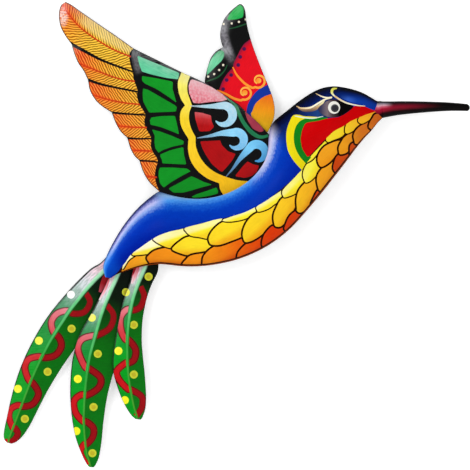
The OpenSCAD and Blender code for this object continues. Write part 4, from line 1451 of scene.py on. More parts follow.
def scale_row(name, low, lit, *stops):
    """A row of scales: its colour runs along the body, deepens at each scale's lower edge and darkens towards
    the rim as painted shade. lit is the share of white painted highlight on the upper edges, most of it
    near the rump."""
    def colour_of(start, brush, fade, place):
        deep = brush[1].rise(-0.5, 5.5) * 0.6 + fade[0].rise(0.6, -0.1) * 0.15
        shaded = deep.mix(place[0].ramp(*stops), low)
        towards_rump = place[0].rise(0.62, 0.88) * 0.6 + place[0].rise(0.25, 0.45) * 0.4
        # Painted highlight: white along the upper edges, mostly towards the rump.
        white = brush[1].rise(1.2, -1.6) * towards_rump * lit
        bright = white.mix(shaded, "fffef4")
        # Painted shade: darker towards the belly's rim.
        return (place[1].rise(0.8, 1.0) * 0.6).mix(bright, "a8380c")
    return enamel(name, colour_of, streak=0.12, **EVEN)


def forehead_colour(start, brush, fade, place):
    # A pale band along the middle of the stroke is a painted highlight.
    blue = fade[0].ramp((0.05, "0a2674"), (0.24, "3460c4"), (0.45, "0e3ea2"), (1.0, "0a2e90"))
    pale_only = abs(brush[1]).rise(4.0, 0.5).mix("0a3498", blue)
    return place[1].rise(0.36, 0.14).mix(pale_only, "02040e")


BLUE = enamel("body_blue", blue_colour, streak=0.14, coat=0.03, **EVEN)
# The lemon row's colours end pale cream at the rump, a painted highlight there.
SCALES = [
    scale_row("scale_lemon", "f6b814", 0.85, (0.0, "f09c24"), (0.1, "f6b828"), (0.18, "f4dc2c"),
              (0.3, "fcf23a"), (0.65, "fcf030"), (0.82, "fff04a"), (1.0, "fffbc0")),
    scale_row("scale_gold", "f08a10", 0.0, (0.0, "c85c1c"), (0.1, "d87420"), (0.18, "f0a020"),
              (0.28, "f8a622"), (0.36, "fcc024"), (0.45, "fdd224"), (0.55, "ffe028"), (0.68, "ffe42c"),
              (0.76, "ffd428"), (0.82, "fba622"), (1.0, "f39420")),
    scale_row("scale_red", "c43006", 0.0, (0.0, "cc5214"), (0.3, "d6460e"), (0.45, "e23c0a"), (0.5, "ea560e"),
              (0.58, "fa9418"), (1.0, "fa9820"))]
SCALE_LINE = plain("scale_line_brown", "260e02", **EVEN)
BELLY_RIM = plain("belly_rim_brown", "94400e", **EVEN)
CHEEK = plain("cheek_red", "d40206", **SOFT)
CRESCENT = plain("crescent_green", "107e1a", **SOFT)
COLLAR = plain("collar_yellow", "eedc14", **SOFT)
FOREHEAD = enamel("forehead_blue", forehead_colour, streak=0.14, coat=0.03, **EVEN)
CREST = ramped("crest_yellow", (0.0, "d4d040"), (0.55, "e2e066"), (1.0, "f4f4d8"), **EVEN)
COLLAR_LINE = plain("collar_line_mint", "e4f2d8", **SOFT)
CREAM = ramped("brow_cream", (0.0, "d8b478"), (0.5, "f8f2d4"), (1.0, "f0e4b8"), **EVEN)
DUSK = ramped("eye_shade_mauve", (0.0, "18224a"), (0.12, "3c3a56"), (0.28, "7a6a70"), (0.42, "4a3a3e"),
              (0.6, "070506"), (1.0, "050405"), **EVEN)
NAVY = ramped("eye_shade_navy", (0.0, "0a1230"), (0.3, "0f2a6a"), (0.6, "1d3f7a"), (1.0, "0c1630"), **EVEN)
TAN = ramped("brow_tan", (0.0, "e8dca8"), (0.45, "b8966a"), (1.0, "3c3040"), **EVEN)
EYE_WHITE = plain("eye_white", "f6f4ea", streak=0.08, **EVEN)
PUPIL = plain("pupil_grey", "34343a", streak=0.3, **EVEN)
# The socket takes the beak's root colours, painted highlight included.
BEAK_BASE = enamel("beak_base_rose", socket_colour, streak=0.25, **EVEN)
BODY_EDGE = enamel("body_edge", body_edge_colour, **EVEN)
print("body paints:", BLUE.name, [m.name for m in SCALES], CHEEK.name)

# %% [markdown]
# Each scale is a dark patch with a smaller bright one on it, so a fine dark line is left between neighbours,
# and each covers part of the one behind it. The belly ends in a dark line and a brown rim. A repeated tile
# would be shorter to write, but scales drawn by hand are never alike.

# %% Lines of the scales
belly_top = [
    (376, 111.5), (365, 115), (357, 118.5), (349, 122), (343, 126.5), (333, 131.5), (326, 138), (318, 146),
    (311, 154), (306.5, 158), (303, 164), (300, 171), (296, 175.5), (289, 182.5), (281, 189), (270, 198),
    (258, 205.5), (245, 212), (230, 216.5), (215, 219.5), (200, 223.5), (185, 227.5), (173, 230.5),
    (160, 235), (150, 241), (140, 248), (132, 254), (126, 262), (121, 268), (113, 277)]
belly_below = [(118, 290), (160, 285), (240, 280), (310, 235), (360, 170), (395, 130), (390, 112)]
scale_rows = [
    [[(357, 120.5), (362.3, 114.6), (371.6, 111.6), (374.9, 114.3), (369, 119.3), (360.4, 123.9)],
     [(343.9, 131), (346, 124.3), (355.4, 118), (358, 119.8), (358.5, 124.5), (351.7, 131), (345.5, 133.8)],
     [(325.2, 139.8), (328, 135), (336.8, 127.6), (344.9, 125), (344.2, 131), (340.5, 136.7), (331.8, 140.4),
      (326.8, 142.3)],
     [(304.6, 163), (309.4, 157.4), (314.4, 152), (324.3, 141.6), (325.6, 139.8), (326.8, 142.9),
      (319.4, 152.2), (316.3, 153.7), (310.7, 160)],
     [(303.8, 180.8), (302.2, 174.6), (304.4, 167.2), (309.4, 161.2), (316.9, 153.9), (317.9, 155),
      (316.9, 162.2), (320, 166.5), (317.5, 172.1), (310.7, 179.6), (305.7, 182.3)],
     [(282.7, 195.8), (281.7, 192), (284.5, 187.7), (293.2, 178.8), (301.9, 170.3), (302.6, 177.1),
      (304.4, 182.1), (300.7, 188.3), (293.2, 193.9), (284.5, 197)],
     [(256.8, 209.4), (256.6, 206.6), (264.6, 201.3), (274.6, 195), (282, 190.4), (282.2, 195.1),
      (280.8, 198.9), (274.6, 203.2), (267.1, 208.4), (258.4, 211.2)],
     [(223, 219.6), (232.3, 216.3), (244.7, 211.3), (256.6, 206.4), (257.4, 210.7), (249.7, 215.8),
      (242.3, 218.9), (232.3, 220.8), (225.5, 220.8)],
     [(186, 227.6), (202, 223.4), (218.6, 218.8), (225.5, 219.6), (219.9, 223.3), (213.7, 229.5),
      (209.3, 237.6), (199.5, 236.3), (191.2, 234.9), (186.7, 231)],
     [(154.8, 237.6), (166.3, 232.5), (181.6, 229), (186, 227.8), (188, 232.3), (191.2, 234.8),
      (181.6, 238.9), (174, 245.2), (171.4, 247.2), (163.8, 245), (156, 240.6)],
     [(133.2, 253.2), (143.4, 244.5), (154.8, 237.9), (156.8, 241.2), (163.8, 245), (171.4, 247.4),
      (161.2, 250.4), (148.5, 252.9), (137, 254.2)],
     [(123, 268), (125.5, 260.2), (132.5, 253.2), (136.6, 253.8), (129.3, 259), (124.2, 266.7)]],
    [[(369.1, 128.4), (368.5, 124.3), (371.6, 118.7), (375.3, 114.6), (386, 117), (380, 130)],
     [(353.6, 141), (352.7, 136.1), (354.8, 131.1), (360.4, 126.1), (369.1, 122), (368.7, 129.8), (366, 136),
      (360.4, 142), (354.8, 143.7)],
     [(338, 151), (338, 147.3), (340.5, 142.3), (344.2, 137.3), (352.9, 132.8), (352.3, 138.6),
      (353.3, 142.5), (349, 147.8), (345.5, 152.4), (339.3, 154.2)],
     [(317.5, 163.4), (316.9, 158.4), (319.4, 152.2), (325.6, 146), (338.6, 141.6), (337.8, 149.7),
      (333.4, 156.4), (328, 162.4), (320.6, 166.7)],
     [(316.9, 184.6), (316.3, 178.3), (318.7, 172.1), (325.6, 164.7), (334.1, 158.3), (333.4, 167.2),
      (332.8, 173.6), (329.3, 179.9), (324.3, 186.1), (319.4, 190.4)],
     [(296.4, 207), (296, 199.5), (298.2, 190.8), (304.4, 183.3), (316.7, 174.2), (316.5, 182.1),
      (317.3, 187.5), (313.4, 196), (309.4, 203.5), (301.5, 211.3), (297, 210.9)],
     [(274, 223.1), (273.3, 215.7), (275.8, 208.2), (282, 198.2), (296.8, 191.2), (295.9, 202),
      (292.4, 209.6), (287, 218.3), (280.8, 225.2), (275.8, 225.8)],
     [(243.5, 238), (242.9, 231.8), (246, 223.1), (252.2, 215.7), (262.2, 210.5), (275.4, 204.9),
      (274, 214.4), (272.5, 222.1), (264.6, 230.8), (254.7, 238.2), (246, 241.3)],
     [(209.9, 241.8), (209.3, 236.8), (213.7, 229.3), (222.4, 222.3), (234.8, 220.4), (248.5, 216.6),
      (252.4, 215.5), (247.4, 221.9), (244.9, 228.1), (243.3, 234.5), (232.3, 239.5), (219.9, 243.8),
      (212.4, 243.8)],
     [(173.3, 248.9), (174, 246.6), (179, 242.1), (186.7, 237.2), (196.9, 236), (208.4, 238.7),
      (214.3, 243.3), (209.9, 250.4), (205.9, 252.9), (196.9, 254.2), (186.7, 253.9), (179, 251.6)],
     [(122.6, 268.6), (126.8, 262.9), (133.2, 257.2), (142.1, 253.7), (151.4, 252.6), (148, 257.8),
      (149.3, 261.6), (152, 272), (126, 276)]],
    [[(349.2, 151), (349.8, 145.4), (353.6, 142.9), (361, 140.4), (368, 146), (352, 162)],
     [(333.3, 170.2), (333.7, 162.2), (336.8, 156), (345.5, 151.8), (349.6, 149), (356, 154), (344, 176)],
     [(310.7, 205.4), (313.6, 197), (318, 189.6), (326, 183.5), (333, 172.8), (346, 172), (330, 204),
      (314, 214)],
     [(285.2, 230), (285.8, 223.1), (289.5, 215.7), (295.7, 210.9), (302, 210.8), (310, 203), (320, 204),
      (300, 236)],
     [(262.8, 246.4), (262.8, 238), (265.9, 231.8), (272.1, 225.8), (278, 226.2), (286, 222.4), (285.6, 230),
      (296, 236), (272, 258)],
     [(237.3, 256.4), (241, 248.6), (248.5, 241.8), (255, 238.4), (263.4, 234.8), (262.8, 245.5), (268, 260),
      (240, 272)],
     [(203.1, 260.4), (204.3, 255.5), (209.9, 249.2), (219.9, 243.6), (232.3, 239.7), (243.1, 235.2),
      (247.4, 241.2), (241.2, 248), (238.1, 254.2), (238, 262), (236, 274), (208, 276), (203.5, 266)],
     [(182.5, 264.6), (186.4, 259.2), (191.2, 255.1), (202, 253.1), (206.3, 252.9), (202.9, 259),
      (203.5, 264.2), (204, 276), (182, 276)],
     [(147.8, 257.8), (149.1, 255.3), (154.8, 250.6), (163.8, 248), (172.7, 247.4), (176.5, 250.6),
      (181.6, 252.5), (191.6, 254.4), (186.9, 259), (183.1, 263.9), (180, 274), (156, 274), (150, 262)]]]
print("scales in each row:", [len(row) for row in scale_rows])

# %% The body's scales
BODY_STEP = 1.5


def on_body(paint, shape, spine=None):
    """A patch on the body, unrolled, with its stroke still on the paper."""
    spine = spine_of(shape) if spine is None else np.asarray(spine, float)
    return Patch(paint, unroll(split_long(shape, BODY_STEP)), spine)


BELLY_LINE = 0.885
BELLY_RIM_FROM = 0.925
LINE_W = (1.3, 1.9, 1.9)
SCALE_GROW = 0.3
BLUE_EDGE = (-1.4, -1.6)
BLUE_EDGE_W = (3.6, 3.6)


def scale_patches():
    """The scales from the tail to the head, then a clean blue edge above them and the belly's rim."""
    top = curve(belly_top, 3)
    rows = zip(SCALES, LINE_W, scale_rows)
    scales = [(paint, width, blob(points)) for paint, width, row in rows for points in row]
    scales.sort(key=lambda scale: scale[2][:, 0].min())
    made = [on_body(SCALE_LINE, np.vstack([top, belly_below]), top)]
    for paint, width, shape in scales:
        made.append(on_body(SCALE_LINE, inset(shape, -SCALE_GROW - width)))
        made.append(on_body(paint, inset(shape, -SCALE_GROW)))
    made.append(on_body(BLUE, stroke(top + BLUE_EDGE, BLUE_EDGE_W), top))
    whole = np.array([LAST * ALONG, math.pi * ROUND])
    for paint, start in ((SCALE_LINE, BELLY_LINE), (BELLY_RIM, BELLY_RIM_FROM)):
        rim = np.array([(0, start), (1, start), (1, 1), (0, 1)]) * whole
        made.append(Patch(paint, split_long(rim, BODY_STEP), top))
    return made


print("scale patches:", len(scale_patches()))

# %% [markdown]
# The head is painted last, over the blue: a red cheek held by a green crescent and a yellow one, a dark
# shade round the eye, cream strokes for the brow and a small yellow crest. The eye is three rounds, white,
# black and grey, and the socket takes the beak's colours.

# %% The body's head
cheek = [(352, 107), (362, 106.5), (370, 110), *belly_top[:10], (301, 149), (299.5, 140), (301, 131),
         (304.5, 123.5), (316, 122), (327, 119), (338, 118), (347, 112.5)]
green_outer = [
    (325, 117.5), (314, 119), (304, 119.5), (297, 124), (293.5, 132), (293, 141), (295, 150), (299.5, 158),
    (305, 164)]
green_inner = [(310, 158), (304, 150), (302, 141), (303, 131), (307, 124.5), (316, 122.5), (327, 119.6)]
yellow_outer = [
    (316, 117.5), (304, 116.5), (293.5, 115.5), (289, 122), (286, 131), (285.5, 141), (287.5, 152),
    (293, 161.5), (301, 170.5)]
yellow_inner = [(305, 163), *green_outer[7:1:-1], (316, 118.5)]
eye_shade = [
    (296, 108), (310, 111), (318, 108), (323, 103), (330, 100), (340, 101.5), (348, 105), (352, 107.5),
    (347, 112.5), (338, 117.5), (327, 118.5), (312, 117.5), (300, 116)]
eye_dark = [
    (317, 109.5), (322, 104.5), (328, 101.2), (336, 100.8), (343, 103), (352, 107.3), (346, 112.5),
    (338, 117.4), (328, 118), (320, 114.5)]
brow_fill = [
    (297, 107.5), (304, 109.5), (311, 109), (318, 105), (324, 101), (320, 107), (314, 111.5), (306, 113),
    (300, 111)]
forehead = [
    (336.5, 92), (344, 88.8), (355, 89.8), (366, 94.4), (379, 99.5), (377, 110), (370, 109.5), (360, 105.5),
    (350, 103), (341, 99.5), (336, 97)]
brow_strokes = [
    ([(295.8, 106.7), (301, 108.8), (309.5, 108.4), (316.5, 104.6), (323.5, 100.4), (330.5, 98.6)],
     (0.7, 1.6, 1.9, 1.7, 1.5, 1.2)),
    ([(315, 94), (320.7, 97.2), (326.3, 98.6), (331, 98)], (0.6, 1.5, 1.5)),
    ([(333.3, 96.8), (339.6, 101), (346.7, 104.2), (357.2, 106.3), (364, 106.7)], (1.8, 1.7, 1.5, 1.1, 0.6))]
collar_line = [(294, 116.6), (304.6, 118.6), (313, 119), (322, 117.2)]
crest = [(336, 88.8), (332, 89.8), (330.9, 93.3), (333.3, 97)]
beak_socket = [(377.7, 97), (375.5, 106), (373.7, 111.8), (378, 115), (384, 119.5), (392, 119), (392, 97)]
EYE = (332.8, 108.4)
EYE_R = (6.0, 6.3)
PUPIL_AT = (333.6, 109.1)
PUPIL_R = 4.0
GLINT_AT = (333.4, 108.9)
GLINT_R = 2.8


def head_patches():
    made = [on_body(COLLAR, np.vstack([curve(yellow_outer, 4), curve(yellow_inner, 4)])),
            on_body(CRESCENT, np.vstack([curve(green_outer, 4), curve(green_inner, 4)])),
            on_body(CHEEK, block(cheek)),
            on_body(FOREHEAD, blob(forehead), [(336, 99), (380, 105)]),
            on_body(NAVY, blob(eye_shade), [(296, 112), (330, 112)]),
            on_body(TAN, blob(brow_fill), [(308, 104), (308, 113)]),
            on_body(DUSK, blob(eye_dark), [(316, 109), (352, 109)])]
    made += [on_body(CREAM, stroke(line, widths)) for line, widths in brow_strokes]
    made += [on_body(COLLAR_LINE, stroke(collar_line, (0.8, 1.4, 1.2, 0.5))),
             on_body(CREST, stroke(crest, (1.2, 2.5, 2.3, 1.2)), crest),
             on_body(BEAK_BASE, curve(beak_socket, 4), [(379, 98), (384, 119)]),
             on_body(EYE_WHITE, dot((0, 0), 1) * EYE_R + EYE),
             on_body(BLACK, dot(PUPIL_AT, PUPIL_R)),
             on_body(PUPIL, dot(GLINT_AT, GLINT_R))]
    return made


def body_place(flat):
    """Along the body from beak to rump and round it from back to belly, each from 0 to 1."""
    return flat / (ALONG * LAST, ROUND * math.pi)


body_outline = np.array([(0, 0), (LAST * ALONG, 0), (LAST * ALONG, math.pi * ROUND), (0, math.pi * ROUND)])
sheet_piece("body_painted", "body_shell", body_outline, body_lift,
            scale_patches() + head_patches(), (BLUE, BODY_EDGE, BACK), step=2.4, place=body_place)

# %% [markdown]
# ## The beak
# The beak is a rolled tube that narrows to a round tip, slightly bowed and a little fuller than the
# construction's, with filler at its joint. It is turned round its axis: a profile of radius and distance
# goes once round, outside from the tip to the root and back inside. A Screw modifier could do that too, but
# the maps for the paint come straight from the profile.

# %% The beak's tube
def turned(profile, count):
    """A profile of (radius, distance) turned once round; both its ends lie on the axis.
    Returns the directions round the axis of every point, its place on the profile, and the faces."""
    rings = len(profile) - 2
    angle = np.arange(count) * 2 * math.pi / count
    ring_angle = np.concatenate([[0], np.tile(angle, rings), [0]])
    where = np.concatenate([[0], np.repeat(np.arange(1, rings + 1), count), [rings + 1]])
    k = np.arange(count)
    after = (k + 1) % count
    first, final = 1, 1 + (rings - 1) * count
    faces = [(0, first + a, first + b) for a, b in zip(k, after)]
    for r in range(rings - 1):
        s = 1 + r * count
        faces += [(s + a, s + count + a, s + count + b, s + b) for a, b in zip(k, after)]
    faces += [(1 + rings * count, final + b, final + a) for a, b in zip(k, after)]
    return ring_angle, where, faces


FILLET = 12 * MM
TAPER = 1.2
ROOT_R = BEAK_R + 0.45 * MM
TIP_R = BEAK_TIP_R + 0.25 * MM


def beak_radius(s):
    share = np.clip(1 - s / (BEAK_L - TIP_R), 0, None)
    return TIP_R + (ROOT_R - TIP_R) * share ** TAPER


def filled_radius(s):
    return beak_radius(s) + (mouth_r - ROOT_R - EDGE_R) * np.clip(1 - s / FILLET, 0, 1) ** 2


BOW_AT = (0.0, 0.1, 0.2, 0.35, 0.55, 0.7, 0.8, 0.9, 1.0)
BOW = (0.0, 0.35, 0.7, 0.85, 0.8, 0.6, 0.3, -0.2, -0.8)
tube = (BEAK_L - TIP_R) * np.linspace(1, 0, 60)
tip_turn = np.radians(np.linspace(90, 9, 10))
tip_ball = np.stack([TIP_R * np.cos(tip_turn), BEAK_L - TIP_R * (1 - np.sin(tip_turn))], 1)
outside = np.stack([filled_radius(tube), tube], 1)
bore = np.stack([beak_radius(tube) - SHEET, tube], 1)[::-1]
root_rim = [(BEAK_R, 0), (BEAK_R, -BEAK_ROOT + EDGE_R), (BEAK_R - EDGE_R, -BEAK_ROOT),
            (BEAK_R - SHEET, -BEAK_ROOT)]
beak_profile = np.vstack([tip_ball, outside, root_rim, bore, [(0, BEAK_L - SHEET)]])
beak_angle, beak_where, beak_faces = turned(beak_profile, 64)
reach, ahead = beak_profile[beak_where].T
up_share = np.cos(beak_angle)
bow = np.interp(ahead / BEAK_L, BOW_AT, np.array(BOW) * MM)
beak_wall = beak_base + ahead[:, None] * beak_way + (reach * up_share + bow)[:, None] * beak_up
beak_points = np.stack([beak_wall[:, 0], -RIM - reach * np.sin(beak_angle), beak_wall[:, 1]], 1)
print("beak:", len(beak_points), "points,", round(BEAK_L / MM, 1), "mm long")

# %% [markdown]
# The beak is black with a dark red band on its front, rosy at the root, which fades before the tip. At the
# root the pale pink and grey near its top are a painted highlight. The band's colours are a ramp from the
# underside to the top, and the surface's own direction keeps the rear black.

# %% The beak's paint
def beak_colour(start, brush, fade, place):
    along, up = place
    band = up.ramp((0.15, "040304"), (0.3, "1c0408"), (0.42, "6a0c1e"), (0.55, "8a1228"), (0.68, "7a1026"),
                   (0.76, "521420"), (0.86, "14060a"), (0.94, "040304"))
    red = along.rise(0.0, 0.14).mix(rose(up), band)
    rear = start.facing()[1].rise(0.0, 0.3)
    return (along.rise(0.12, 0.72) + rear).mix(red, "070505")


BEAK = enamel("beak_black", beak_colour, streak=0.25, shine=0.02, bloom=0.0)
beak_mesh = smooth_mesh("beak_painted", beak_points, beak_faces, [BEAK])
corners = np.concatenate(beak_faces)
round_mm = np.arccos(np.clip(up_share, -1, 1)) * reach / MM
beak_share = ahead / BEAK_L
beak_maps = [(ahead / MM, round_mm), (beak_share, beak_share * 0), (beak_share, 0.5 + 0.5 * up_share)]
add_maps(beak_mesh, *[np.stack(pair, 1)[corners] for pair in beak_maps])
put(beak_mesh, "beak")

# %% [markdown]
# ## The strap and the hanger
# Behind the bird, a strap bridges the open body near the rump and carries the tail. It is cut from the same
# sheet and sprayed with the back. Its corners are set from the rails, so it fits the body wherever they go.

# %% The strap
STRAP_EDGE = 0.4 * MM
strap_t = CORNER + STATIONS * np.array([2.0, 3.0, 4.0])
strap_back, strap_belly = at_station(strap_t, back_rail), at_station(strap_t, belly_rail)
strap_across = (strap_back - strap_belly) / np.hypot(*(strap_back - strap_belly).T)[:, None]
strap_outline = on_paper(np.vstack([strap_back - strap_across * STRAP_EDGE,
                                    (strap_belly + strap_across * STRAP_EDGE)[::-1]]))
strap_welds = np.array([strap_top + rim_inward(STRAP)[0] * WELD_R,
                        strap_low + rim_inward(STRAP, belly_rail, back_rail)[0] * WELD_R])


def at_rim(squares):
    return np.full(len(squares), RIM)


sheet_piece("tail_strap_bar", "tail_strap", strap_outline, standing(at_rim), [],
            (BACK, BACK, BACK), step=2.0, place=paper_place, holes=weld_holes(strap_welds))

# %% [markdown]
# A strip bent like a hat holds the bird off the wall, with a hole for the nail. It is drawn flat, as it is
# before it is bent, and its lift does the bending. A bevelled curve bends as well, but has no holes.

# %% The hanger
HANGER_T = 1.5 * MM
HANGER_W = 16 * MM
BRIDGE_L = 26 * MM
FOOT_L = 8 * MM
HANGER_BEND = 1.5 * MM
NAIL_R = 3 * MM
bend_middle = HANGER_BEND + HANGER_T / 2
leg_z = BRIDGE_L / 2 - HANGER_T / 2
foot_y = RIM - SHEET - HANGER_T / 2
BEND_STEPS = 9
lower_turn = np.radians(np.linspace(-90, 0, BEND_STEPS))
upper_turn = np.radians(np.linspace(180, 90, BEND_STEPS))
lower_bend = np.stack([leg_z - bend_middle + bend_middle * np.cos(lower_turn),
                       HANGER_T / 2 + bend_middle * (1 + np.sin(lower_turn)), lower_turn], 1)
upper_bend = np.stack([leg_z + bend_middle + bend_middle * np.cos(upper_turn),
                       foot_y - bend_middle * (1 - np.sin(upper_turn)), upper_turn - math.pi], 1)
half_path = np.vstack([[(0, HANGER_T / 2, -math.pi / 2)], lower_bend, upper_bend,
                       [(BRIDGE_L / 2 + FOOT_L, foot_y, -math.pi / 2)]])
path_length = lengths(half_path[:, :2])
foot_mid = BRIDGE_L / 2 + (FOOT_L + bend_middle) / 2
foot_at = path_length[-1] - (BRIDGE_L / 2 + FOOT_L - foot_mid)


def hanger_lift(flat, depth):
    """Bends the flat strip: across is x, and the second way runs along the strip from the nail hole."""
    along = flat[:, 1] * SQUARE[0]
    z, y, turn = [np.interp(np.abs(along), path_length, half_path[:, k]) for k in (0, 1, 2)]
    off = (depth - 0.5) * HANGER_T
    z = (z + np.cos(turn) * off) * np.sign(along)
    return np.stack([flat[:, 0] * SQUARE[0], -(y + np.sin(turn) * off), z], 1)


hanger_half = np.array([HANGER_W / 2, path_length[-1]]) / SQUARE[0]
corner_signs = np.array([(-1, -1), (1, -1), (1, 1), (-1, 1)])
hanger_holes = [dot((0, 0), NAIL_R / SQUARE[0])]
hanger_holes += [dot((0, side * foot_at / SQUARE[0]), WELD_R / SQUARE[0]) for side in (1, -1)]
sheet_piece("hanger_bent", "hanger", corner_signs * hanger_half, hanger_lift, [],
            (BACK, BACK, BACK), step=1.3, place=paper_place, holes=hanger_holes)

# %% [markdown]
# ## The welds
# Where two sheets meet, the welder fills a drilled hole from behind, and the bead sets in a low crown with
# rings like a shell, from the pulse of the torch. The rings are real geometry, because they catch light even
# under paint. A weld on the strap is ground flush, so its top is flat. Each bead has a seed of its own, so
# it is the same in every run.

# %% The welds
CROWN_H = 0.7 * MM
CROWN_ROWS = 14
CROWN_POWER = 2.4
RING_H = 0.07
RING_PACE = 26
LOBES = (2, 3, 5)
LEAN = 0.1


def weld_bead(spot, front, thick, crown, seed):
    """One plug weld: a plug through the sheets and a rippled crown towards the wall."""
    draw = np.random.default_rng(seed)
    spread = CROWN_W if crown else 0
    share = np.linspace(1, 0.06, CROWN_ROWS)
    ripple = RING_H * np.cos(share * RING_PACE)
    top = np.stack([(WELD_R + spread) * share, thick + crown * (1 - share ** CROWN_POWER) * (1 + ripple)], 1)
    side = [(0, 0), (WELD_R * 0.9, 0), (WELD_R, 0.1 * MM), (WELD_R, thick - 0.05 * MM)]
    profile = np.vstack([side, top, [(0, thick + crown * 0.92)]])
    turn, where, faces = turned(profile, 32)
    reach, back = profile[where].T
    lobes = sum(draw.uniform(0.01, 0.035) * np.cos(n * turn + draw.uniform(0, 6.3)) for n in LOBES)
    past_sheet = np.clip((back - thick) / max(crown, EDGE_R) * 4, 0, 1)
    reach = reach * (1 + lobes * past_sheet)
    back = back - crown * LEAN * past_sheet * (1 + np.cos(turn + draw.uniform(0, 6.3))) * reach / WELD_R
    points = np.stack([spot[0] + reach * np.sin(turn), back - front, spot[1] + reach * np.cos(turn)], 1)
    return points, [face[::-1] for face in faces]


def weld_maps(points):
    """Maps of a piece that is painted with no stroke of its own."""
    flat = on_paper(points[:, [0, 2]])
    return flat * SQUARE[0] / MM, np.tile([0.5, 0.3], (len(flat), 1)), paper_place(flat)


def weld_piece(joint, beads):
    points, faces = [], []
    for made, sides in beads:
        start = sum(len(p) for p in points)
        points.append(made)
        faces += [tuple(start + k for k in side) for side in sides]
    mesh = smooth_mesh(f"{joint}_weld_beads", np.vstack(points), faces, [WELD])
    corners = np.concatenate(faces)
    add_maps(mesh, *[m[corners] for m in weld_maps(np.vstack(points))])
    put(mesh, f"{joint}_welds")


WELD = plain("weld_black", "4a4a50", streak=0.7, rough=0.45, coat=0.05, shine=0.5, bloom=0.0)
BEHIND = RIM - SHEET
plug_joints = [("near_wing", near_welds, RIM, SHEET, CROWN_H, 0),
               ("far_wing", far_welds, BEHIND, SHEET, CROWN_H, 10),
               ("strap", strap_welds, RIM, SHEET, 0, 20),
               ("tail", tail_welds, BEHIND, 3 * SHEET, CROWN_H, 30)]
for joint, spots, front, thick, crown, seed in plug_joints:
    weld_piece(joint, [weld_bead(spot, front, thick, crown, seed + k) for k, spot in enumerate(spots)])
weld_piece("hanger", [weld_bead((0, s * foot_mid), BEHIND, HANGER_T, CROWN_H, 40 + s) for s in (1, -1)])

# %% [markdown]
# The beak's two beads lie along the tube where it leaves the head's socket, as short worms on the rear side.
# Each is turned like the beak and then pressed flat in front.

# %% The beak's welds
BEAD_L = SOCKET_L - 0.6 * MM
BEAD_R = BEAK_CLEAR + SHEET
BEAD_IN = 0.3 * MM
BEAD_RINGS = 5
RING_DIP = 0.06


def beak_bead(side):
    """Half a worm along the beak's root, flat on the front and rippled behind."""
    along = np.linspace(0, 1, 17)
    rings = 1 - RING_DIP * (1 + np.cos(along * BEAD_RINGS * 2 * math.pi))
    girth = np.sqrt(np.clip(1 - (2 * along - 1) ** 6, 0.05, 1)) * rings
    profile = np.vstack([[(0, 0)], np.stack([BEAD_R * girth, along * BEAD_L], 1), [(0, BEAD_L)]])
    turn, where, faces = turned(profile, 24)
    reach, ahead = profile[where].T
    up = reach * np.cos(turn) + side * BEAK_R
    wall = beak_base + (ahead - SOCKET_L + BEAD_IN)[:, None] * beak_way + up[:, None] * beak_up
    return np.stack([wall[:, 0], -RIM + np.maximum(reach * np.sin(turn), 0), wall[:, 1]], 1), faces


weld_piece("beak", [beak_bead(1), beak_bead(-1)])

# %% [markdown]
# ## Wall, light and camera
# The bird hangs on a white wall that curves into a pale floor, and the wall carries its soft shadow. For the
# camera and in mirrors the wall glows a little, so that it looks white and adds no light to the bird. From
# behind it is clear, so that the bird's back can be seen.

# %% The wall
WALL_WHITE = (0.93, 0.93, 0.93, 1)
WALL_ROUGH = 0.9
WALL_GLOW = 0.38


def white_wall():
    material = bpy.data.materials.new("white_wall")
    material.use_nodes = True
    tree = material.node_tree
    shader = tree.nodes["Principled BSDF"]
    shader.inputs["Base Color"].default_value = WALL_WHITE
    shader.inputs["Roughness"].default_value = WALL_ROUGH
    start = Wire(tree)
    path = start.node("ShaderNodeLightPath")
    seen = path + path.output("Is Glossy Ray") + path.output("Is Transmission Ray")
    glow = start.node("ShaderNodeEmission", {}, {"Color": (1, 1, 1, 1), "Strength": seen * WALL_GLOW})
    both = start.node("ShaderNodeAddShader", {}, {0: Wire(tree, shader.outputs[0]), 1: glow})
    clear = start.node("ShaderNodeBsdfTransparent")
    behind = start.node("ShaderNodeNewGeometry", out="Backfacing")
    shown = start.node("ShaderNodeMixShader", {}, {0: behind, 1: both, 2: clear})
    tree.links.new(shown.socket, tree.nodes["Material Output"].inputs["Surface"])
    return material


WALL_Y = 0.0008
WALL_TOP = 1.6
WALL_SIDE = 2.0
FLOOR_Z = -1.5
FLOOR_END = -2.5
COVE_R = 0.4
cove = np.radians(np.linspace(0, 90, 25))
cove_line = np.stack([WALL_Y - COVE_R + COVE_R * np.cos(cove), FLOOR_Z + COVE_R - COVE_R * np.sin(cove)], 1)
wall_line = np.vstack([[(WALL_Y, WALL_TOP)], cove_line, [(FLOOR_END, FLOOR_Z)]])
wall_points = [(x, y, z) for x in (-WALL_SIDE, WALL_SIDE) for y, z in wall_line]
rows = len(wall_line)
wall_faces = [(k, k + 1, rows + k + 1, rows + k) for k in range(rows - 1)]
wall_mesh = smooth_mesh("wall_and_floor", wall_points, wall_faces, [white_wall()])
wall = in_scene("wall_and_floor", wall_mesh)
print("wall faces look towards", [round(x, 2) for x in wall_mesh.polygons[0].normal])

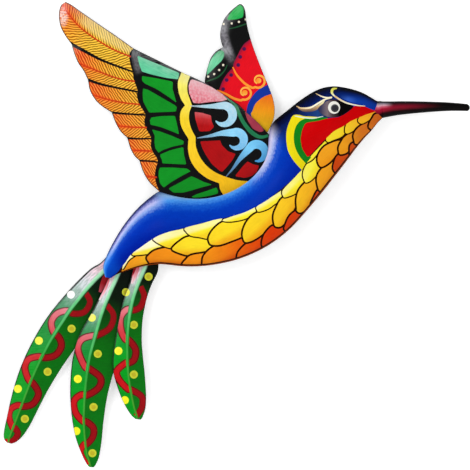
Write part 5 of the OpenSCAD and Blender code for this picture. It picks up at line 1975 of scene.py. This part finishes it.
# %% [markdown]
# A soft panel in front, above and to the left gives the narrow shadow. A slim one close to the wall lights
# the edges, a broad one fills from the right, and the white world fills the rest. Spot lamps would be
# simpler, but their shadows are harder than the real one.

# %% The lamps
WORLD_LIGHT = 0.62


def panel(name, place, aim, size, watts):
    lamp = bpy.data.lights.new(name, "AREA")
    lamp.shape = "RECTANGLE"
    lamp.size, lamp.size_y = size
    lamp.energy = watts
    holder = in_scene(name, lamp)
    holder.location = place
    holder.rotation_euler = (Vector(aim) - Vector(place)).to_track_quat("-Z", "Y").to_euler()


MIDDLE = (0.03, -0.02, -0.07)
panel("window_panel", (-0.8, -1.5, 0.5), MIDDLE, (0.7, 0.7), 8.5)
panel("edge_panel", (-1.1, -0.13, 0.55), MIDDLE, (0.2, 0.9), 5)
panel("front_panel", (0.9, -2.2, -0.4), MIDDLE, (1.6, 1.6), 10)
world = bpy.data.worlds.new("studio")
world.use_nodes = True
world.node_tree.nodes["Background"].inputs["Color"].default_value = (1, 1, 1, 1)
world.node_tree.nodes["Background"].inputs["Strength"].default_value = WORLD_LIGHT
bpy.context.scene.world = world
bpy.context.scene.view_settings.view_transform = "Standard"
print("lamps:", [o.name for o in bpy.data.objects if o.type == "LIGHT"])

# %% [markdown]
# The camera looks straight at the wall from 3 m, and its lens takes in the paper at the depth of the body's
# rim, a hair closer and slightly shifted to fit the picture. An orthographic camera would lose the depth.

# %% The camera
FRAME_W = PAPER * SQUARE[0]
CAMERA_Y = -3.0
SENSOR = 36
CLOSER = 1.004
FRAME_SHIFT = np.array([-0.2, -0.5])
camera_data = bpy.data.cameras.new("camera")
camera_data.sensor_width = SENSOR
camera_data.lens = SENSOR * (abs(CAMERA_Y) - RIM) / FRAME_W * CLOSER
camera = in_scene("camera", camera_data)
frame_mid = on_wall(PAPER / 2 + FRAME_SHIFT)
camera.location = (frame_mid[0], CAMERA_Y, frame_mid[1])
camera.rotation_euler = (math.pi / 2, 0, 0)
bpy.context.scene.camera = camera
print("camera lens", round(camera_data.lens), "mm")
